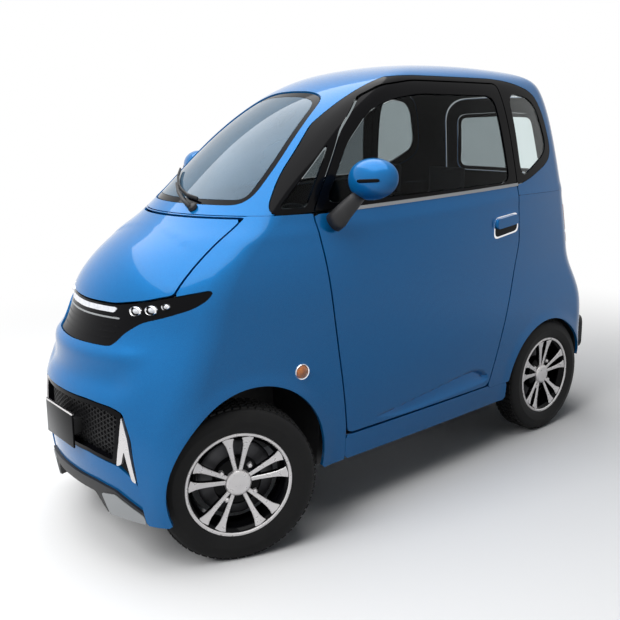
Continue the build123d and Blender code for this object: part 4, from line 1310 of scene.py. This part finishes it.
# %% Pads
def pad(name, size, matrix, channels, cap=0.024):
    """A stuffed pad. Its face looks along the matrix's Z axis, and channels are places along its X axis."""
    blank = bar_box(name + "_blank", size, seat_cloth, matrix, min(size) * 0.34, 4)
    mesher = blank.modifiers.new("voxels", "REMESH")
    mesher.mode = "VOXEL"
    mesher.voxel_size = 0.006
    mesh = evaluated_mesh(blank, name)
    mesh.materials.clear()
    mesh.shade_smooth()
    piece = stand(name, mesh, seat_cloth)
    start = coordinates(mesh)
    swollen = start.copy()
    cloth = piece.modifiers.new("stuffing", "CLOTH")
    cloth.settings.quality = 5
    cloth.settings.use_pressure = True
    cloth.settings.uniform_pressure_force = 4
    cloth.settings.effector_weights.gravity = 0
    cloth.point_cache.frame_start, cloth.point_cache.frame_end = 1, 20
    for number in range(1, 21):
        scene.frame_set(number)
    result = piece.evaluated_get(bpy.context.evaluated_depsgraph_get()).to_mesh()
    swollen = coordinates(result)
    piece.modifiers.remove(cloth)
    scene.frame_set(1)
    move = swollen - start
    length = np.linalg.norm(move, axis=1, keepdims=True)
    swollen = start + move * np.minimum(1, cap / np.maximum(length, 1e-9))
    inverse = np.array(matrix.inverted())
    local = swollen @ inverse[:3, :3].T + inverse[:3, 3]
    face = ease((local[:, 2] - 0.1 * size[2]) / (0.3 * size[2]))
    for at in channels:
        local[:, 2] -= 0.009 * face * np.exp(-((local[:, 0] - at) / 0.007) ** 2)
    forward = np.array(matrix)
    mesh.vertices.foreach_set("co", (local @ forward[:3, :3].T + forward[:3, 3]).ravel())
    mesh.update()
    smooth = piece.modifiers.new("smooth", "SUBSURF")
    smooth.levels = smooth.render_levels = 1
    print(name, len(mesh.vertices), "points, swelled up to", round(float(length.max()), 4), "m")
    return piece


def lying(middle, up):
    """A frame at a point whose Z axis is up and whose Y axis is the car's."""
    z = Vector(up).normalized()
    y = Vector((0, 1, 0))
    x = y.cross(z)
    return Matrix.Translation(Vector(middle)) @ Matrix((x, y, z)).transposed().to_4x4()


SEAT_Y = 0.185
cushion = pad("seat_cushion_left", (0.385, 0.29, 0.066), lying((-0.075, SEAT_Y, 0.466), (0.06, 0, 1)),
              (-0.07, 0.06))
backrest = pad("seat_back_left", (0.43, 0.29, 0.05), lying((-0.326, SEAT_Y, 0.77), (1, 0, 0.19)),
               (-0.1, 0.02, 0.14))
head_pad = pad("seat_head_left", (0.13, 0.19, 0.034), lying((-0.396, SEAT_Y, 1.118), (1, 0, 0.06)), ())
PADS = ((cushion, 0.75), (backrest, 0.7), (head_pad, 0.7))
for piece, fill in PADS:
    twin_mesh = piece.data.copy()
    twin_mesh.transform(Matrix.Translation((0, -2 * SEAT_Y, 0)))
    twin = stand(piece.name.replace("left", "right"), twin_mesh)
    twin_mesh.name = twin.name
    smooth = twin.modifiers.new("smooth", "SUBSURF")
    smooth.levels = smooth.render_levels = 1
    for half, side_name in ((piece, "left"), (twin, "right")):
        settle(half, "chassis", "seat_cover", *([f"seat_{side_name}"] if piece is cushion else []))
for side_name, sign in SIDES:
    y = SEAT_Y * sign
    shell = box_group(f"seat_shell_{side_name}", (
        ("base", (0.34, 0.24, 0.14), black_trim, (-0.115, y, 0.352), 0.02),
        ("tray", (0.4, 0.3, 0.02), black_trim, lying((-0.085, y, 0.422), (0.06, 0, 1)), 0.008),
        ("back_board", (0.46, 0.28, 0.016), black_trim, lying((-0.366, y, 0.745), (1, 0, 0.17)), 0.007),
        ("post_a", (0.11, 0.012, 0.012), steel, lying((-0.398, y + 0.05, 1.03), (1, 0, 0.06)), 0.004),
        ("post_b", (0.11, 0.012, 0.012), steel, lying((-0.398, y - 0.05, 1.03), (1, 0, 0.06)), 0.004)))
    settle(shell, "chassis", "black_trim")
print("seats", 2)

# %% [markdown]
# ## Behind the panels
# With the bonnet or a door open, the inside shows: a tray with the charger case under the bonnet, and an
# armrest with a bright pull on the lining of each door.

# %% Bonnet tray and door linings
tray = box_group("bonnet_tray", (
    ("tray_floor", (0.4, 0.56, 0.016), dark_lining, (0.84, 0, 0.66), 0.006),
    ("tray_rear", (0.26, 0.76, 0.014), dark_lining, (0.77, 0, 0.659), 0.006),
    ("tray_wall", (0.016, 0.62, 0.2), dark_lining, (0.64, 0, 0.755), 0.006)))
settle(tray, "chassis", "black_trim")
RIBS = 9
charger = box_group("charger_case", [("case", (0.17, 0.26, 0.07), unit_case, (0.79, 0, 0.702), 0.008)] + [
    ("rib", (0.17, 0.008, 0.014), unit_case, (0.79, -0.1 + 0.025 * k, 0.741), 0.003) for k in range(RIBS)])
settle(charger, "chassis", "unit_case")
for side_name, sign in SIDES:
    lining = box_group(f"door_armrest_{side_name}", (
        ("rest", (0.34, 0.046, 0.05), black_trim, (-0.1, 0.428 * sign, 0.76), 0.016),
        ("pocket", (0.44, 0.03, 0.12), black_trim, (0.02, 0.436 * sign, 0.46), 0.012),
        ("pull", (0.1, 0.012, 0.022), chrome, (0.2, 0.437 * sign, 0.88), 0.005)))
    settle(lining, f"door_{side_name}", "black_trim")
print("inside pieces done")

# %% [markdown]
# ## Pieces kept from the solids
# The running gear and the cabin mouldings have the right shape already, so they only get their finishes.

# %% Finishes on the solids
KEPT = {
    "black_gloss": black_gloss, "black_trim": black_trim, "silver_trim": silver_plastic,
    "light_white": light_guide, "lamp_red": red_lens, "lamp_amber": amber_lens, "clear_glass": glass,
    "seat_cover": seat_cloth, "tyre_rubber": rubber, "rim_alloy": bright_metal, "steel": steel,
    "unit_case": unit_case, "body_paint": blue_paint,
}
node_slot = {}
for row in frame["record"]["subparts"]:
    node_slot[row["node"]] = row["material_slot"]
for name, solid in frame["nodes"].items():
    finish = KEPT[node_slot.get(name, "black_trim")]
    solid.data.materials.clear()
    solid.data.materials.append(finish)
print("solids with a finish", len(frame["nodes"]))
